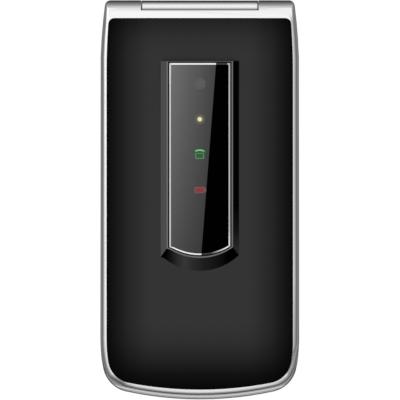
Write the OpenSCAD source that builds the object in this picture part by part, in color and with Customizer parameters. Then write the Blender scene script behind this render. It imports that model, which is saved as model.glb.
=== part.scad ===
// Flip phone, closed and lying on its back, in millimetres.
// +Z points out of the lid, +Y toward the hinge, and the base rests on Z = 0.

/* [Phone] */
// Length from the lower end to the back of the hinge
phone_length = 108; // [105:1:116]
// Width across the straight sides
phone_width = 53.7; // [53.5:0.1:58]
// Radius of the shallow curve of the lower end
end_radius = 94.3; // [85:1:110]
// Radius of the lower corners
corner_radius = 8; // [6:0.1:8.2]
// Distance of the lower corners' centres from the sides
corner_inset = 8.57; // [8.3:0.01:9.2]
// Radius of the long lead-in between a side and its corner
lead_radius = 33; // [28:0.5:40]
// Length over which the sides draw in toward the hinge
taper_length = 20.2; // [16:0.1:24]
// Radius of the drawn-in part of the sides
taper_radius = 148; // [120:1:200]
// Radius of the corners at the hinge end
hinge_corner = 1.6; // [1:0.1:2.4]

/* [Base] */
// Thickness of the base up to the rim that meets the lid
base_height = 10.43; // [10.3:0.01:12]
// Height of the split between the rear case and the front frame
case_split = 6.2; // [5.9:0.1:6.4]
// Rounding of the back edges
back_radius = 3; // [2:0.1:3.4]
// Thickness of the side walls
side_wall = 1.5; // [1.2:0.1:1.7]
// Thickness of the floor above the battery cover
floor_thickness = 1; // [0.8:0.1:1.2]
// Thickness of the keypad deck
deck_thickness = 0.9; // [0.7:0.1:1]
// Depth of the keypad deck below the rim
deck_depth = 0.5; // [0.4:0.05:0.7]

/* [Battery] */
// Thickness of the battery cover
cover_thickness = 1.2; // [1:0.05:1.3]
// Width of the battery cover between its tongues
cover_width = 42; // [40:0.5:43]
// Width of the battery
battery_width = 34; // [30:0.5:35]
// Length of the battery
battery_length = 53; // [48:0.5:54]
// Thickness of the battery
battery_thickness = 5.3; // [4.5:0.1:5.35]

/* [Keys] */
// Width of a number key
key_width = 13.2; // [11:0.1:13.6]
// Length of a number key
key_length = 8.6; // [7:0.1:9]
// Spacing of the key columns
column_pitch = 14.6; // [14.4:0.1:15]
// Spacing of the key rows
row_pitch = 10.2; // [9.8:0.1:10.4]
// Travel of a key
key_travel = 0.25; // [0.15:0.01:0.3]
// Diameter of the navigation rocker
nav_diameter = 19; // [16:0.5:19.5]
// Diameter of the key in the middle of the rocker
ok_diameter = 7.6; // [6:0.2:9]

/* [Lid] */
// Thickness of the lid at its bright frame
lid_height = 7.5; // [7.4:0.05:8]
// Gap between the rims of the closed phone
rim_gap = 0.4; // [0.35:0.01:0.6]
// Distance of the lid's lower end from the end of the base
lid_setback = 1.35; // [1:0.05:2]
// Rounding of the frame's front edge
front_radius = 1.7; // [1.2:0.1:1.8]
// Rounding of the frame at the hinge end
hinge_rounding = 3.2; // [2.4:0.1:3.4]
// Width of the bright frame beside the black cover
frame_band = 1.7; // [1.6:0.05:2.4]
// Thickness of the black cover at its edge
cover_plate = 1.3; // [1.1:0.05:1.4]
// Rise of the black cover from its edge to its middle
cover_crown = 0.4; // [0.2:0.05:0.5]

/* [Window] */
// Width of the glass with its bright outline
window_width = 16.5; // [15:0.1:17.5]
// Length of the window down the middle
window_length = 51.9; // [48:0.1:54]
// Distance of the window's top from the back of the hinge
window_top = 17; // [16:0.1:18]
// Radius of the curved lower ends of the window and its plinth
window_end_radius = 15.3; // [14:0.1:20]
// Height of the plinth above the black cover
plinth_height = 0.8; // [0.6:0.05:1]
// Width of the bevel at each side of the plinth
side_bevel = 1.35; // [1:0.05:1.8]
// Length of the bevel at the plinth's lower end
end_bevel = 3.3; // [2.6:0.1:4]
// Width of the bright outline
trim_width = 0.45; // [0.4:0.05:0.8]

/* [Hinge] */
// Radius of the hinge barrel and knuckles
hinge_radius = 5.5; // [5.2:0.05:5.6]
// Height of the hinge axis above the base's rim
hinge_rise = 1.6; // [1.5:0.05:1.7]
// Length of the barrel in the middle
barrel_length = 31.5; // [28:0.5:34]
// Distance of the lid's lip from the back of the hinge
lip_setback = 2.8; // [2.6:0.1:3.4]
// Largest opening angle of the lid
opening = 160; // [150:1:160]
// Running clearance of the pins
pin_clearance = 0.04; // [0.02:0.01:0.08]

/* [Hidden] */

// Clearances and small common sizes
fit = 0.05;
slide_gap = 0.1;
key_gap = 0.25;
far = 200;
skin = 0.01;

// Levels of the base, from the resting plane up
half_width = phone_width / 2;
half_length = phone_length / 2;
floor_top = cover_thickness + fit + floor_thickness;
deck_top = base_height - deck_depth;
deck_under = deck_top - deck_thickness;
key_flange = 0.35;
key_foot = deck_under - fit - key_flange;
key_rise = 0.6;
key_top = deck_top + key_rise;
dome_thickness = 0.15;
board_thickness = 0.8;
dome_gap = 0.03;
board_top = key_foot - key_travel - dome_gap - dome_thickness;
board_under = board_top - board_thickness;
bay_top = board_under - fit;

// Levels of the lid
lid_under = base_height + rim_gap;
lid_top = lid_under + lid_height;
cover_edge_top = lid_top - 0.1;
cover_under = cover_edge_top - cover_plate;
ledge_thickness = 0.85;
ledge_under = cover_under - ledge_thickness;
glass_under = cover_edge_top + 0.1;
plinth_top = cover_edge_top + cover_crown + plinth_height;
glass_top = plinth_top - 0.05;

// Hinge
hinge_y = half_length - hinge_radius;
hinge_z = base_height + hinge_rise;
hinge_front = hinge_y - hinge_radius;
barrel_half = barrel_length / 2;
knuckle_start = barrel_half + 0.15;
lip_clearance = hinge_radius + 0.15;
lip_y = half_length - lip_setback;
sweep_radius = norm([hinge_radius - hinge_rounding, lid_top - hinge_rounding - hinge_z])
    + hinge_rounding + 0.15;
open_plane = lid_top + cover_crown - hinge_z + 0.1;

// Shaft, pin, cam housing and spring inside the hinge
press_gap = 0.02;
shaft_radius = 1.5;
shaft_end = 8;
pin_radius = 2.2;
pin_start = 8;
housing_radius = 3;
housing_end = knuckle_start + 7.6;
housing_start = knuckle_start + 0.1;
pin_end = knuckle_start + 7.4;
cam_radius = 2.05;
spring_wire = 0.25;
spring_radius = 1.75;
spring_turns = 5;
spring_sides = 8;
spring_start = -housing_end + 1.1 + spring_wire;
spring_end = -housing_start - 2.3 - spring_wire;

// Outline of the base: half width, lower end, upper end, end radius, corner radius,
// lead-in radius, corner inset, upper corner radius, taper radius
base_outline = [half_width, -half_length, half_length, end_radius, corner_radius,
    lead_radius, corner_inset, hinge_corner, taper_radius];
lid_outline = [half_width, -half_length + lid_setback, half_length, end_radius, corner_radius,
    lead_radius, corner_inset, hinge_corner, taper_radius];
cover_lower = 2.8;
cover_upper = 4.9;
cover_outline = [half_width - frame_band, -half_length + cover_lower, half_length - cover_upper,
    end_radius + 6.9, corner_radius - 1.2, lead_radius + 3.4, corner_inset - 1.4,
    hinge_corner, taper_radius + 52];
taper_y = half_length - taper_length;

function arc(c, r, a0, a1, n) =
    [for (i = [1:n]) let (t = a0 + (a1 - a0) * i / n) [c[0] + r * cos(t), c[1] + r * sin(t)]];

// Right half of an outline drawn in by inset, from the middle of the lower end to the upper end
function half_outline(s, inset, upper) = let (
    a = s[0] - inset,
    end_r = s[3] - inset,
    corner_r = s[4] - inset,
    lead_r = s[5] - inset,
    alpha = asin((s[0] - s[6]) / (end_r - corner_r)),
    c1 = [0, s[1] + s[3]],
    c2 = c1 + (end_r - corner_r) * [sin(alpha), -cos(alpha)],
    beta = acos((lead_r - s[6] + inset) / (lead_r - corner_r)),
    c3 = [a - lead_r, c2[1] + (lead_r - corner_r) * sin(beta)],
    top_y = is_undef(upper) ? s[2] - inset : upper,
    top_r = max(s[7] - inset, 0.3),
    taper_r = s[8] - inset,
    taper_x = s[0] - s[8],
    theta = asin((top_y - top_r - taper_y) / (taper_r - top_r)),
    top_x = taper_x + (taper_r - top_r) * cos(theta)
) concat(
    [c1 - [0, end_r]],
    arc(c1, end_r, -90, alpha - 90, 6),
    arc(c2, corner_r, alpha - 90, -beta, 8),
    arc(c3, lead_r, -beta, 0, 4),
    arc([taper_x, taper_y], taper_r, 0, theta, 4),
    arc([top_x, top_y - top_r], top_r, theta, 90, 4)
);

function mirrored(points) = concat(points,
    [for (i = [len(points) - 1:-1:1]) [-points[i][0], points[i][1]]]);

module plan(s, inset = 0, upper = undef) {
    polygon(mirrored(half_outline(s, inset, upper)));
}

module prism(s, z0, z1, inset = 0, upper = undef) {
    translate([0, 0, z0]) linear_extrude(z1 - z0) plan(s, inset, upper);
}

// A box given by its opposite corners
module box(low, high) {
    translate(low) cube(high - low);
}

// A box with the same extent at both sides of the middle
module middle_box(half, y0, y1, z0, z1) {
    box([-half, y0, z0], [half, y1, z1]);
}

module rounded_block(width, length, z0, z1, r) {
    x = width / 2 - r;
    y = length / 2 - r;
    translate([0, 0, z0]) linear_extrude(z1 - z0) polygon(concat(
        arc([x, y], r, 0, 90, 4), arc([-x, y], r, 90, 180, 4),
        arc([-x, -y], r, 180, 270, 4), arc([x, -y], r, 270, 360, 4)));
}

// A cylinder about the hinge axis between two places along X
module along_hinge(r, x0, x1) {
    translate([x0, hinge_y, hinge_z]) rotate([0, 90, 0]) cylinder(h = x1 - x0, r = r, $fn = 96);
}

module pair() {
    children();
    mirror([1, 0, 0]) children();
}

// Space that the lid's knuckles and outer face sweep through
module hinge_sweep() {
    along_hinge(hinge_radius + 0.3, -far / 2, far / 2);
    intersection() {
        along_hinge(sweep_radius, -far / 2, far / 2);
        box([-far / 2, 0, -far], [far / 2, far, hinge_z - 3.2]);
    }
    box([-far / 2, hinge_y, deck_under - 4], [far / 2, far, far]);
    translate([0, hinge_y, hinge_z]) rotate([180 - opening, 0, 0])
        translate([-far / 2, 0, -open_plane]) cube([far, far, far]);
}

// ---- Base ----

// Ends of the base's hollows and of the board, in front of the hinge
rear_hollow_end = hinge_front - 2;
front_hollow_end = hinge_front - 2.6;
deck_end = hinge_front - 1.4;
web_start = hinge_front - 2.2;
board_end = hinge_front - 3;

// Headset socket
jack_y = hinge_front - 16;
jack_radius = 1.78;
jack_z = floor_top + 2.5;
jack_depth = 14;
jack_back = 1;
jack_body = [4.8, 6];

// Battery, its bay and its contacts, from the headset socket toward the lower end
contact_x = [-5, 0, 5];
contact_half = [0.5, 1];
contact_z = floor_top + 2.75;
contact_gap = 0.12;
contact_block = 2.2;
contact_space = 1.8;
bay_wall = 1;
battery_y1 = jack_y - jack_body[1] / 2 - contact_block - bay_wall - contact_space;
battery_y0 = battery_y1 - battery_length;
battery_under = cover_thickness + 0.2;
bay_half = battery_width / 2 + 0.25;
bay_y0 = battery_y0 - 0.3;
bay_y1 = battery_y1 + contact_space;

// Battery cover
cover_end_y = bay_y1 + bay_wall + 1;
cover_half = cover_width / 2;
tongue = 1;
tongue_under = cover_thickness / 2;

// Screws that hold the two halves of the base
screw_head = 1.6;
screw_shank = 0.8;
screw_gap = 0.15;
boss_radius = 2.6;
post_radius = 2.1;
post_gap = 0.3;
post_under = 4.15;
screw_seat = floor_top + 0.4;
// The lower screws lie near the lower corners, and always below the battery bay
screw_y1 = hinge_front - 6;
screw_y0 = min(-half_length + 9.5, bay_y0 - bay_wall - boss_radius - post_gap);
screw_places = [[half_width - 5.05, screw_y1], [half_width - 9.4, screw_y0]];

// Loudspeaker and vibration motor
speaker_place = [-10, hinge_front - 11, 0];
speaker_radius = 6.5;
speaker_pad = 5;
hole_ring = 3;
hole_radius = 0.6;
motor_radius = 2;
motor_length = 7;
motor_place = [13, hinge_front - 7.6, floor_top + 2.55];
motor_shaft = 0.4;

// USB socket and charging contacts at the lower end
usb_half = 3.8;
usb_height = 2.6;
usb_under = board_under - fit - usb_height;
usb_sheet = 0.35;
usb_gap = 0.3;
charging_x = 12;
charging_z = 3.6;
charging_radius = 1.2;
end_y = -half_length + end_radius - sqrt(pow(end_radius, 2) - pow(charging_x, 2));

// The base's outer shape below the split, with its rounded back edges
module rear_shell() {
    hull() {
        for (t = [0:18:72])
            prism(base_outline, back_radius * (1 - cos(t)), back_radius * (1 - cos(t)) + skin,
                back_radius * (1 - sin(t)));
        prism(base_outline, back_radius, case_split);
    }
}

module screw_bores(r_head, r_shank, z_seat) {
    for (p = screw_places)
        pair() {
            translate([p[0], p[1], -1]) cylinder(h = z_seat + 1, r = r_head, $fn = 48);
            translate([p[0], p[1], -1]) cylinder(h = deck_under + 0.7, r = r_shank, $fn = 48);
        }
}

module usb_opening() {
    middle_box(usb_half + usb_gap, -far, -half_length + 5, usb_under - usb_gap,
        usb_under + usb_height + usb_gap);
}

module contacts(gap, y0, y1) {
    for (x = contact_x)
        box([x - contact_half[0] - gap, y0, contact_z - contact_half[1] - gap],
            [x + contact_half[0] + gap, y1, contact_z + contact_half[1] + gap]);
}

module jack_opening() {
    translate([0, jack_y, jack_z]) rotate([0, 90, 0]) cylinder(h = far, r = jack_radius + 0.9, $fn = 64);
}

module cover_slide(gap) {
    middle_box(cover_half + gap, -far, cover_end_y + gap, -1, cover_thickness + fit);
    middle_box(cover_half + tongue + gap, -far, cover_end_y + gap, tongue_under - fit,
        cover_thickness + fit);
}

module rear_case() {
    color("silver") difference() {
        union() {
            difference() {
                rear_shell();
                prism(base_outline, floor_top, far, side_wall, rear_hollow_end);
            }
            middle_box(bay_half + bay_wall, bay_y0 - bay_wall, bay_y1 + bay_wall, floor_thickness, bay_top);
            for (p = screw_places)
                pair() translate([p[0], p[1], floor_thickness / 2])
                    cylinder(h = post_under - fit - floor_thickness / 2, r = boss_radius, $fn = 48);
            box([motor_place[0] - motor_length, motor_place[1] - motor_radius, floor_top - skin],
                [motor_place[0] - 0.5, motor_place[1] + motor_radius, motor_place[2] - 0.6]);
            translate(speaker_place + [0, 0, floor_thickness / 2])
                cylinder(h = floor_top + 0.2 - floor_thickness / 2, r = speaker_pad, $fn = 64);
        }
        cover_slide(slide_gap);
        middle_box(bay_half, bay_y0, bay_y1, -1, bay_top - 0.5);
        contacts(contact_gap, bay_y1 - 1, bay_y1 + bay_wall + 1);
        screw_bores(screw_head + screw_gap, screw_shank + fit, screw_seat);
        usb_opening();
        jack_opening();
        hinge_sweep();
        for (i = [0:5])
            translate(speaker_place + [hole_ring * cos(60 * i), hole_ring * sin(60 * i), -1])
                cylinder(h = case_split, r = hole_radius, $fn = 24);
        translate(speaker_place - [0, 0, 1]) cylinder(h = case_split, r = hole_radius, $fn = 24);
        for (x = [-charging_x, charging_x])
            translate([x, -far / 2, charging_z]) rotate([-90, 0, 0])
                cylinder(h = far / 2 - half_length + 4, r = charging_radius + fit, $fn = 48);
        translate(motor_place - [motor_length + 0.5, 0, 0]) rotate([0, 90, 0])
            cylinder(h = motor_length + 1, r = motor_radius + fit, $fn = 64);
    }
}

// The keypad, placed in the free length between the lower end and the upper screws
soft_height = 6.4;
call_height = 6.6;
call_step = 0.4;
nav_step = 16.2;
soft_step = 3.9;
keypad_length = key_length / 2 + 4 * row_pitch + call_step + nav_step + soft_step + soft_height / 2;
keypad_free = screw_y1 - 2 + half_length - keypad_length;
key_row_0 = -half_length + 0.6 * keypad_free + key_length / 2;
key_columns = [-column_pitch, 0, column_pitch];
call_y = key_row_0 + 4 * row_pitch + call_step;
nav_y = call_y + nav_step;
soft_y = nav_y + soft_step;

// The soft and call keys reach from a place beside the middle to the edge of the deck
soft_inner = nav_diameter / 2 + 2.5;
soft_outer = half_width - 4.45;
soft_x = (soft_inner + soft_outer) / 2;
soft_size = [soft_outer - soft_inner, soft_height];
call_inner = 9.2;
call_outer = half_width - 4.05;
call_x = (call_inner + call_outer) / 2;
call_size = [call_outer - call_inner, call_height];
key_corner = 1.4;
key_lip = 0.45;

// Microphone and side keys
mic_y = -half_length + 7.4;
rim_width = 1.25;
rocker_half_length = 7.5;
rocker_y = 14;
rocker_z0 = deck_under - 2.4;
rocker_z1 = deck_under - 0.3;
side_key_half = 3.5;
wall_face = half_width - side_wall;
side_gap = 0.15;
side_flange = 0.8;

module key_holes(gap) {
    for (row = [0:3])
        for (x = key_columns)
            translate([x, key_row_0 + row * row_pitch, 0])
                rounded_block(key_width + 2 * gap, key_length + 2 * gap, 0, far, key_corner + 0.1);
    for (x = [-call_x, call_x])
        translate([x, call_y, 0])
            rounded_block(call_size[0] + 2 * gap, call_size[1] + 2 * gap, 0, far, key_corner + 0.1);
    for (x = [-soft_x, soft_x])
        translate([x, soft_y, 0])
            rounded_block(soft_size[0] + 2 * gap, soft_size[1] + 2 * gap, 0, far, key_corner + 0.1);
    translate([0, nav_y, 0]) cylinder(h = far, r = nav_diameter / 2 + gap, $fn = 96);
}

module front_frame() {
    color("silver") difference() {
        union() {
            difference() {
                hull() {
                    prism(base_outline, case_split, base_height - 0.4);
                    prism(base_outline, base_height - 0.4, base_height, 0.35);
                }
                prism(base_outline, 0, deck_under, side_wall, front_hollow_end);
                prism(base_outline, deck_top, far, rim_width, deck_end);
            }
            for (p = screw_places)
                pair() translate([p[0], p[1], post_under])
                    cylinder(h = deck_under + 0.15 - post_under, r = post_radius, $fn = 48);
        }
        intersection() {
            key_holes(key_gap);
            prism(base_outline, deck_under - 1, far, rim_width + fit);
        }
        screw_bores(screw_shank + fit, screw_shank + fit, 2);
        usb_opening();
        jack_opening();
        hinge_sweep();
        middle_box(barrel_half - fit, web_start, far, 0, far);
        box([-far, rocker_y - rocker_half_length - side_gap, rocker_z0 - side_gap],
            [-wall_face + 1, rocker_y + rocker_half_length + side_gap, rocker_z1 + side_gap]);
        box([wall_face - 1, rocker_y - side_key_half - side_gap, rocker_z0 - side_gap],
            [far, rocker_y + side_key_half + side_gap, rocker_z1 + side_gap]);
        translate([0, mic_y, 0]) cylinder(h = far, r = 0.5, $fn = 24);
    }
}

module hinge_barrel() {
    color("silver") difference() {
        union() {
            along_hinge(hinge_radius, -barrel_half, barrel_half);
            difference() {
                middle_box(barrel_half - 2 * fit, web_start + fit, hinge_y - 1.75, case_split + fit,
                    base_height);
                along_hinge(hinge_radius - 0.5, -far / 2, far / 2);
            }
        }
        along_hinge(shaft_radius + press_gap, -barrel_half - 1, -shaft_end);
        along_hinge(pin_radius + press_gap, pin_start, barrel_half + 1);
    }
}

module main_board() {
    color("darkgreen") difference() {
        middle_box(half_width - 5.6, -half_length + 5.4, board_end, board_under, board_top);
        for (p = screw_places)
            pair() translate([p[0], p[1], 0]) cylinder(h = far, r = post_radius + post_gap, $fn = 48);
    }
}

can_x0 = -screw_places[0][0] + boss_radius + 1.2;
can_size = [15, 15, 1.5];
can_sheet = 0.2;

module shield_can() {
    low = [can_x0, board_end - 1 - can_size[1], board_under - fit - can_size[2]];
    color("gainsboro") difference() {
        box(low, low + can_size);
        box(low + can_sheet * [1, 1, 1], low + can_size + [-can_sheet, -can_sheet, 1]);
    }
}

dome_radius = 2.4;
nav_reach = (nav_diameter + ok_diameter) / 4;

module dome_at(x, y) {
    translate([x, y, board_top]) cylinder(h = dome_thickness, r = dome_radius, $fn = 32);
}

module key_domes() {
    color("goldenrod") {
        for (row = [0:3])
            for (x = key_columns)
                dome_at(x, key_row_0 + row * row_pitch);
        for (x = [-call_x, call_x])
            dome_at(x, call_y);
        for (x = [-soft_x, soft_x])
            dome_at(x, soft_y);
        for (y = [-nav_reach, 0, nav_reach])
            dome_at(0, nav_y + y);
    }
}

module battery() {
    color("dimgray") difference() {
        middle_box(battery_width / 2, battery_y0, battery_y1,
            battery_under, battery_under + battery_thickness);
        contacts(0.4, battery_y1 - 0.3, battery_y1 + 1);
    }
}

module battery_contacts() {
    color("gold") {
        contacts(0, battery_y1 - 0.2, bay_y1 + bay_wall + fit);
        middle_box(contact_x[2] + 3, bay_y1 + bay_wall + fit, bay_y1 + bay_wall + contact_block,
            floor_top + 0.6, board_under);
    }
}

grip_half = 7;
grip_setback = 9;
grip_pitch = 1.6;
grip_groove = 0.7;
grip_depth = 0.4;

module battery_cover() {
    color("dimgray") difference() {
        intersection() {
            rear_shell();
            union() {
                middle_box(cover_half, -far, cover_end_y, -1, cover_thickness);
                middle_box(cover_half + tongue, -far, cover_end_y, tongue_under, cover_thickness);
            }
        }
        for (i = [0:3])
            translate([0, cover_end_y - grip_setback + grip_pitch * i, 0])
                middle_box(grip_half, 0, grip_groove, -1, grip_depth);
    }
}

card_top = board_under - fit;
card_under = card_top - 1.5;
card_y0 = -half_length + 7.6;
card_y1 = bay_y0 - bay_wall - 0.3;
card_sheet = 0.3;

module card_holder() {
    color("gainsboro") difference() {
        middle_box(9, card_y0, card_y1, card_under, card_top);
        middle_box(7.6, card_y0 + card_sheet, card_y1 - 3 * card_sheet,
            card_under + card_sheet, card_top - card_sheet);
    }
}

module loudspeaker() {
    color("black") translate(speaker_place + [0, 0, floor_top + 0.25]) {
        cylinder(h = 1.6, r = speaker_radius, $fn = 64);
        cylinder(h = 2, r = speaker_radius - 2.5, $fn = 64);
    }
}

module microphone() {
    color("silver") translate([0, mic_y, board_top]) difference() {
        cylinder(h = 0.75, r = 1.9, $fn = 48);
        translate([0, 0, 0.4]) cylinder(h = 1, r = 0.4, $fn = 24);
    }
}

module vibration_motor() {
    color("silver") translate(motor_place - [motor_length, 0, 0]) rotate([0, 90, 0]) difference() {
        cylinder(h = motor_length, r = motor_radius, $fn = 64);
        translate([0, 0, motor_length - weight_seat - 0.1])
            cylinder(h = 3, r = motor_shaft + pin_clearance, $fn = 32);
    }
}

weight_seat = 1.5;
weight_length = 3;
weight_radius = 2.2;

module vibration_weight() {
    color("darkgray") translate(motor_place) rotate([0, 90, 0]) {
        translate([0, 0, -weight_seat])
            cylinder(h = weight_seat + weight_length + 0.5, r = motor_shaft, $fn = 32);
        translate([0, 0, 0.5]) cylinder(h = weight_length, r = 0.9, $fn = 32);
        translate([0, 0, 0.5]) intersection() {
            cylinder(h = weight_length, r = weight_radius, $fn = 64);
            translate([0, -weight_radius - 1, 0])
                cube([weight_radius + 1, 2 * weight_radius + 2, weight_length]);
        }
    }
}

module usb_socket() {
    color("silver") difference() {
        middle_box(usb_half, -half_length + 1, -half_length + 6.6, usb_under, usb_under + usb_height);
        middle_box(usb_half - usb_sheet, -half_length, -half_length + 6,
            usb_under + usb_sheet, usb_under + usb_height - usb_sheet);
    }
    color("black") middle_box(usb_half - 1, -half_length + 2, -half_length + 6,
        usb_under + 1, usb_under + 1.5);
}

module audio_jack() {
    color("black") translate([wall_face - fit, jack_y, jack_z]) rotate([0, -90, 0]) difference() {
        translate([-jack_body[0] / 2, -jack_body[1] / 2, 0])
            cube([jack_body[0], jack_body[1], jack_depth + jack_back]);
        translate([0, 0, -1]) cylinder(h = jack_depth + 1, r = jack_radius, $fn = 64);
    }
}

module charging_contacts() {
    color("gold")
        for (x = [-charging_x, charging_x])
            translate([x, end_y + 0.2, charging_z]) rotate([-90, 0, 0])
                cylinder(h = 2.2, r = charging_radius, $fn = 48);
}

module antenna() {
    color("goldenrod") box([-screw_places[1][0] + boss_radius + 0.65, -half_length + 5.4, floor_top],
        [-usb_half - 1.6, bay_y0 - bay_wall - 1.7, floor_top + 0.3]);
}

module volume_rocker() {
    color("silver") {
        box([-half_width + 0.1, rocker_y - rocker_half_length, rocker_z0],
            [-wall_face + 0.3, rocker_y + rocker_half_length, rocker_z1]);
        box([-wall_face + 0.25, rocker_y - rocker_half_length - side_flange, rocker_z0],
            [-wall_face + 0.8, rocker_y + rocker_half_length + side_flange, rocker_z1]);
    }
}

module side_key() {
    color("silver") {
        box([wall_face - 0.3, rocker_y - side_key_half, rocker_z0],
            [half_width - 0.1, rocker_y + side_key_half, rocker_z1]);
        box([wall_face - 0.8, rocker_y - side_key_half - side_flange, rocker_z0],
            [wall_face - 0.1, rocker_y + side_key_half + side_flange, rocker_z1]);
    }
}

module base_screws() {
    color("gray") for (p = screw_places)
        pair() translate([p[0], p[1], 0]) {
            difference() {
                translate([0, 0, screw_seat - 0.9]) cylinder(h = 0.9, r = screw_head, $fn = 48);
                translate([0, 0, screw_seat - 1]) cylinder(h = 0.5, r = 0.7, $fn = 6);
            }
            translate([0, 0, screw_seat])
                cylinder(h = deck_under - screw_seat - 0.6, r = screw_shank, $fn = 48);
        }
}

module rest_pads() {
    color("dimgray")
        for (y = [-half_length + 8, hinge_front - 5])
            pair() translate([half_width - 5.6, y, deck_top])
                cylinder(h = lid_under - deck_top - fit, r = 1.2, $fn = 32);
}

// ---- Keys ----

// A key with a flange below the deck that keeps it in
module key(x, y, size) {
    color("lightgray") translate([x, y, 0]) {
        rounded_block(size[0], size[1], key_foot, key_top, key_corner);
        rounded_block(size[0] + 2 * key_lip, size[1] + 2 * key_lip, key_foot, key_foot + key_flange,
            key_corner + 0.2);
    }
}

module number_key(row, column) {
    key(key_columns[column], key_row_0 + row * row_pitch, [key_width, key_length]);
}

module nav_rocker() {
    color("lightgray") translate([0, nav_y, 0]) difference() {
        translate([0, 0, key_foot]) cylinder(h = key_top - key_foot, r = nav_diameter / 2, $fn = 96);
        cylinder(h = far, r = ok_diameter / 2 + key_gap, $fn = 64);
    }
}

module ok_key() {
    color("silver") translate([0, nav_y, key_foot])
        cylinder(h = key_top - key_foot - 0.1, r = ok_diameter / 2, $fn = 64);
}

// ---- Lid ----

lid_inner_upper = hinge_front - 0.6;
lid_boss = 2.4;
lid_screw_head = 1.3;
lid_screw_shank = 0.7;
lid_screw_x = half_width - 3.95;
lid_screw_places = [[lid_screw_x, hinge_front - 6], [lid_screw_x, -half_length + 12]];

// Inner cover, screen and earpiece
inner_cover_thickness = 1.5;
lens_size = [43, 60];
lens_thickness = 0.8;
lens_gap = 0.1;
lens_seat = [2.5, 3.5];
lens_under = lid_under + 0.08;
display_y = hinge_front - 46;
module_size = [lens_size[0] - 3.8, lens_size[1] - 2];
module_thickness = 2.6;
module_under = lid_under + inner_cover_thickness + fit;
magnet_y = [-half_length + 7, -half_length + 10];
// The earpiece lies at the lid's free end, midway between the lens and the magnet
earpiece_y = (display_y - lens_size[1] / 2 + magnet_y[1]) / 2;
earpiece_slot = [9, 1.4];
lid_board_under = module_under + module_thickness + 0.1;
lid_board_top = lid_board_under + 0.7;
lid_board_half = lid_screw_x - lid_boss - 1.1;

// Window, and what lies behind it
window_y1 = half_length - window_top;
window_y0 = window_y1 - window_length;
plinth_rim = 0.9;
plinth_rim_top = 0.7;
plinth_half = window_width / 2 + plinth_rim;
camera_y = window_y1 - 5.6;
led_y = window_y1 - 15.2;
call_y_lid = window_y1 - 24.7;
battery_y_lid = window_y1 - 34.3;
camera_radius = 2.6;
led_radius = 0.7;
call_guide = [3.3, 3.3];
battery_guide = [3.4, 2.2];
guide_gap = 0.2;
guide_corner = 0.3;
guide_top = glass_under - fit;
sign_depth = 0.3;

// A straight-sided window outline with a curved lower end
function window_outline(half, top, bottom) = let (
    r = window_end_radius,
    a = asin(half / r)
) concat([[half, top], [-half, top]], arc([0, bottom + r], r, -90 - a, -90 + a, 12));

module window_prism(half, top, bottom, z0, z1) {
    translate([0, 0, z0]) linear_extrude(z1 - z0) polygon(window_outline(half, top, bottom));
}

// The frame's full outer shape above the gap
module lid_shell() {
    intersection() {
        hull() {
            prism(lid_outline, lid_under, lid_under + 0.35 + skin, 0.35);
            prism(lid_outline, lid_under + 0.35, lid_top - front_radius);
            for (t = [22.5, 45, 67.5, 90])
                let (z = lid_top - front_radius * (1 - sin(t)))
                prism(lid_outline, z - skin, z, front_radius * (1 - cos(t)));
        }
        union() {
            middle_box(far, -far, half_length - hinge_rounding, 0, far);
            middle_box(far, -far, far, 0, lid_top - hinge_rounding);
            translate([-far / 2, half_length - hinge_rounding, lid_top - hinge_rounding])
                rotate([0, 90, 0]) cylinder(h = far, r = hinge_rounding, $fn = 96);
        }
    }
}

module lid_frame() {
    color("silver") difference() {
        union() {
            difference() {
                lid_shell();
                prism(lid_outline, 0, ledge_under, side_wall, lid_inner_upper);
                prism(lid_outline, 0, cover_under + skin, 3, lid_inner_upper);
            }
            for (p = lid_screw_places)
                pair() translate([p[0], p[1], module_under])
                    cylinder(h = ledge_under - module_under + fit, r = lid_boss, $fn = 48);
            intersection() {
                prism(lid_outline, 0, lid_top - 3, 0, half_length);
                along_hinge(hinge_radius, -far / 2, far / 2);
            }
        }
        prism(cover_outline, cover_under, far, -fit, half_length - cover_upper + fit);
        along_hinge(lip_clearance, -knuckle_start, knuckle_start);
        middle_box(knuckle_start, lip_y, far, 0, far);
        middle_box(knuckle_start, hinge_y, far, 0, hinge_z);
        along_hinge(housing_radius + press_gap, -housing_end - 0.1, 0);
        along_hinge(pin_radius + pin_clearance, 0, pin_end + 0.1);
        for (p = lid_screw_places)
            pair() translate([p[0], p[1], 0])
                cylinder(h = ledge_under - 0.6, r = lid_screw_shank + fit, $fn = 48);
    }
}

module lid_cover() {
    color([0.08, 0.08, 0.09]) difference() {
        union() {
            hull() {
                prism(cover_outline, cover_under, cover_edge_top - 0.3);
                prism(cover_outline, cover_edge_top - skin, cover_edge_top, 0.35);
                prism(cover_outline, cover_edge_top + cover_crown * 0.7 - skin,
                    cover_edge_top + cover_crown * 0.7, 3);
                prism(cover_outline, cover_edge_top + cover_crown - skin,
                    cover_edge_top + cover_crown, 5.5);
            }
            hull() {
                window_prism(plinth_half + side_bevel, window_y1 + plinth_rim_top + 0.1,
                    window_y0 - plinth_rim - end_bevel, cover_edge_top - 0.5,
                    cover_edge_top + cover_crown);
                window_prism(plinth_half, window_y1 + plinth_rim_top, window_y0 - plinth_rim,
                    plinth_top - skin, plinth_top);
            }
        }
        window_prism(window_width / 2 + fit, window_y1 + fit, window_y0 - fit, glass_under, far);
        along_hinge(lip_clearance, -knuckle_start, knuckle_start);
        translate([0, camera_y, 0]) cylinder(h = far, r = camera_radius + guide_gap, $fn = 64);
        translate([0, led_y, 0]) cylinder(h = far, r = led_radius + guide_gap, $fn = 48);
        translate([0, call_y_lid, 0])
            rounded_block(call_guide[0] + 2 * guide_gap, call_guide[1] + 2 * guide_gap, 0, far,
                guide_corner + guide_gap);
        translate([0, battery_y_lid, 0])
            rounded_block(battery_guide[0] + 2 * guide_gap, battery_guide[1] + 2 * guide_gap, 0, far,
                guide_corner + guide_gap);
    }
}

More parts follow.
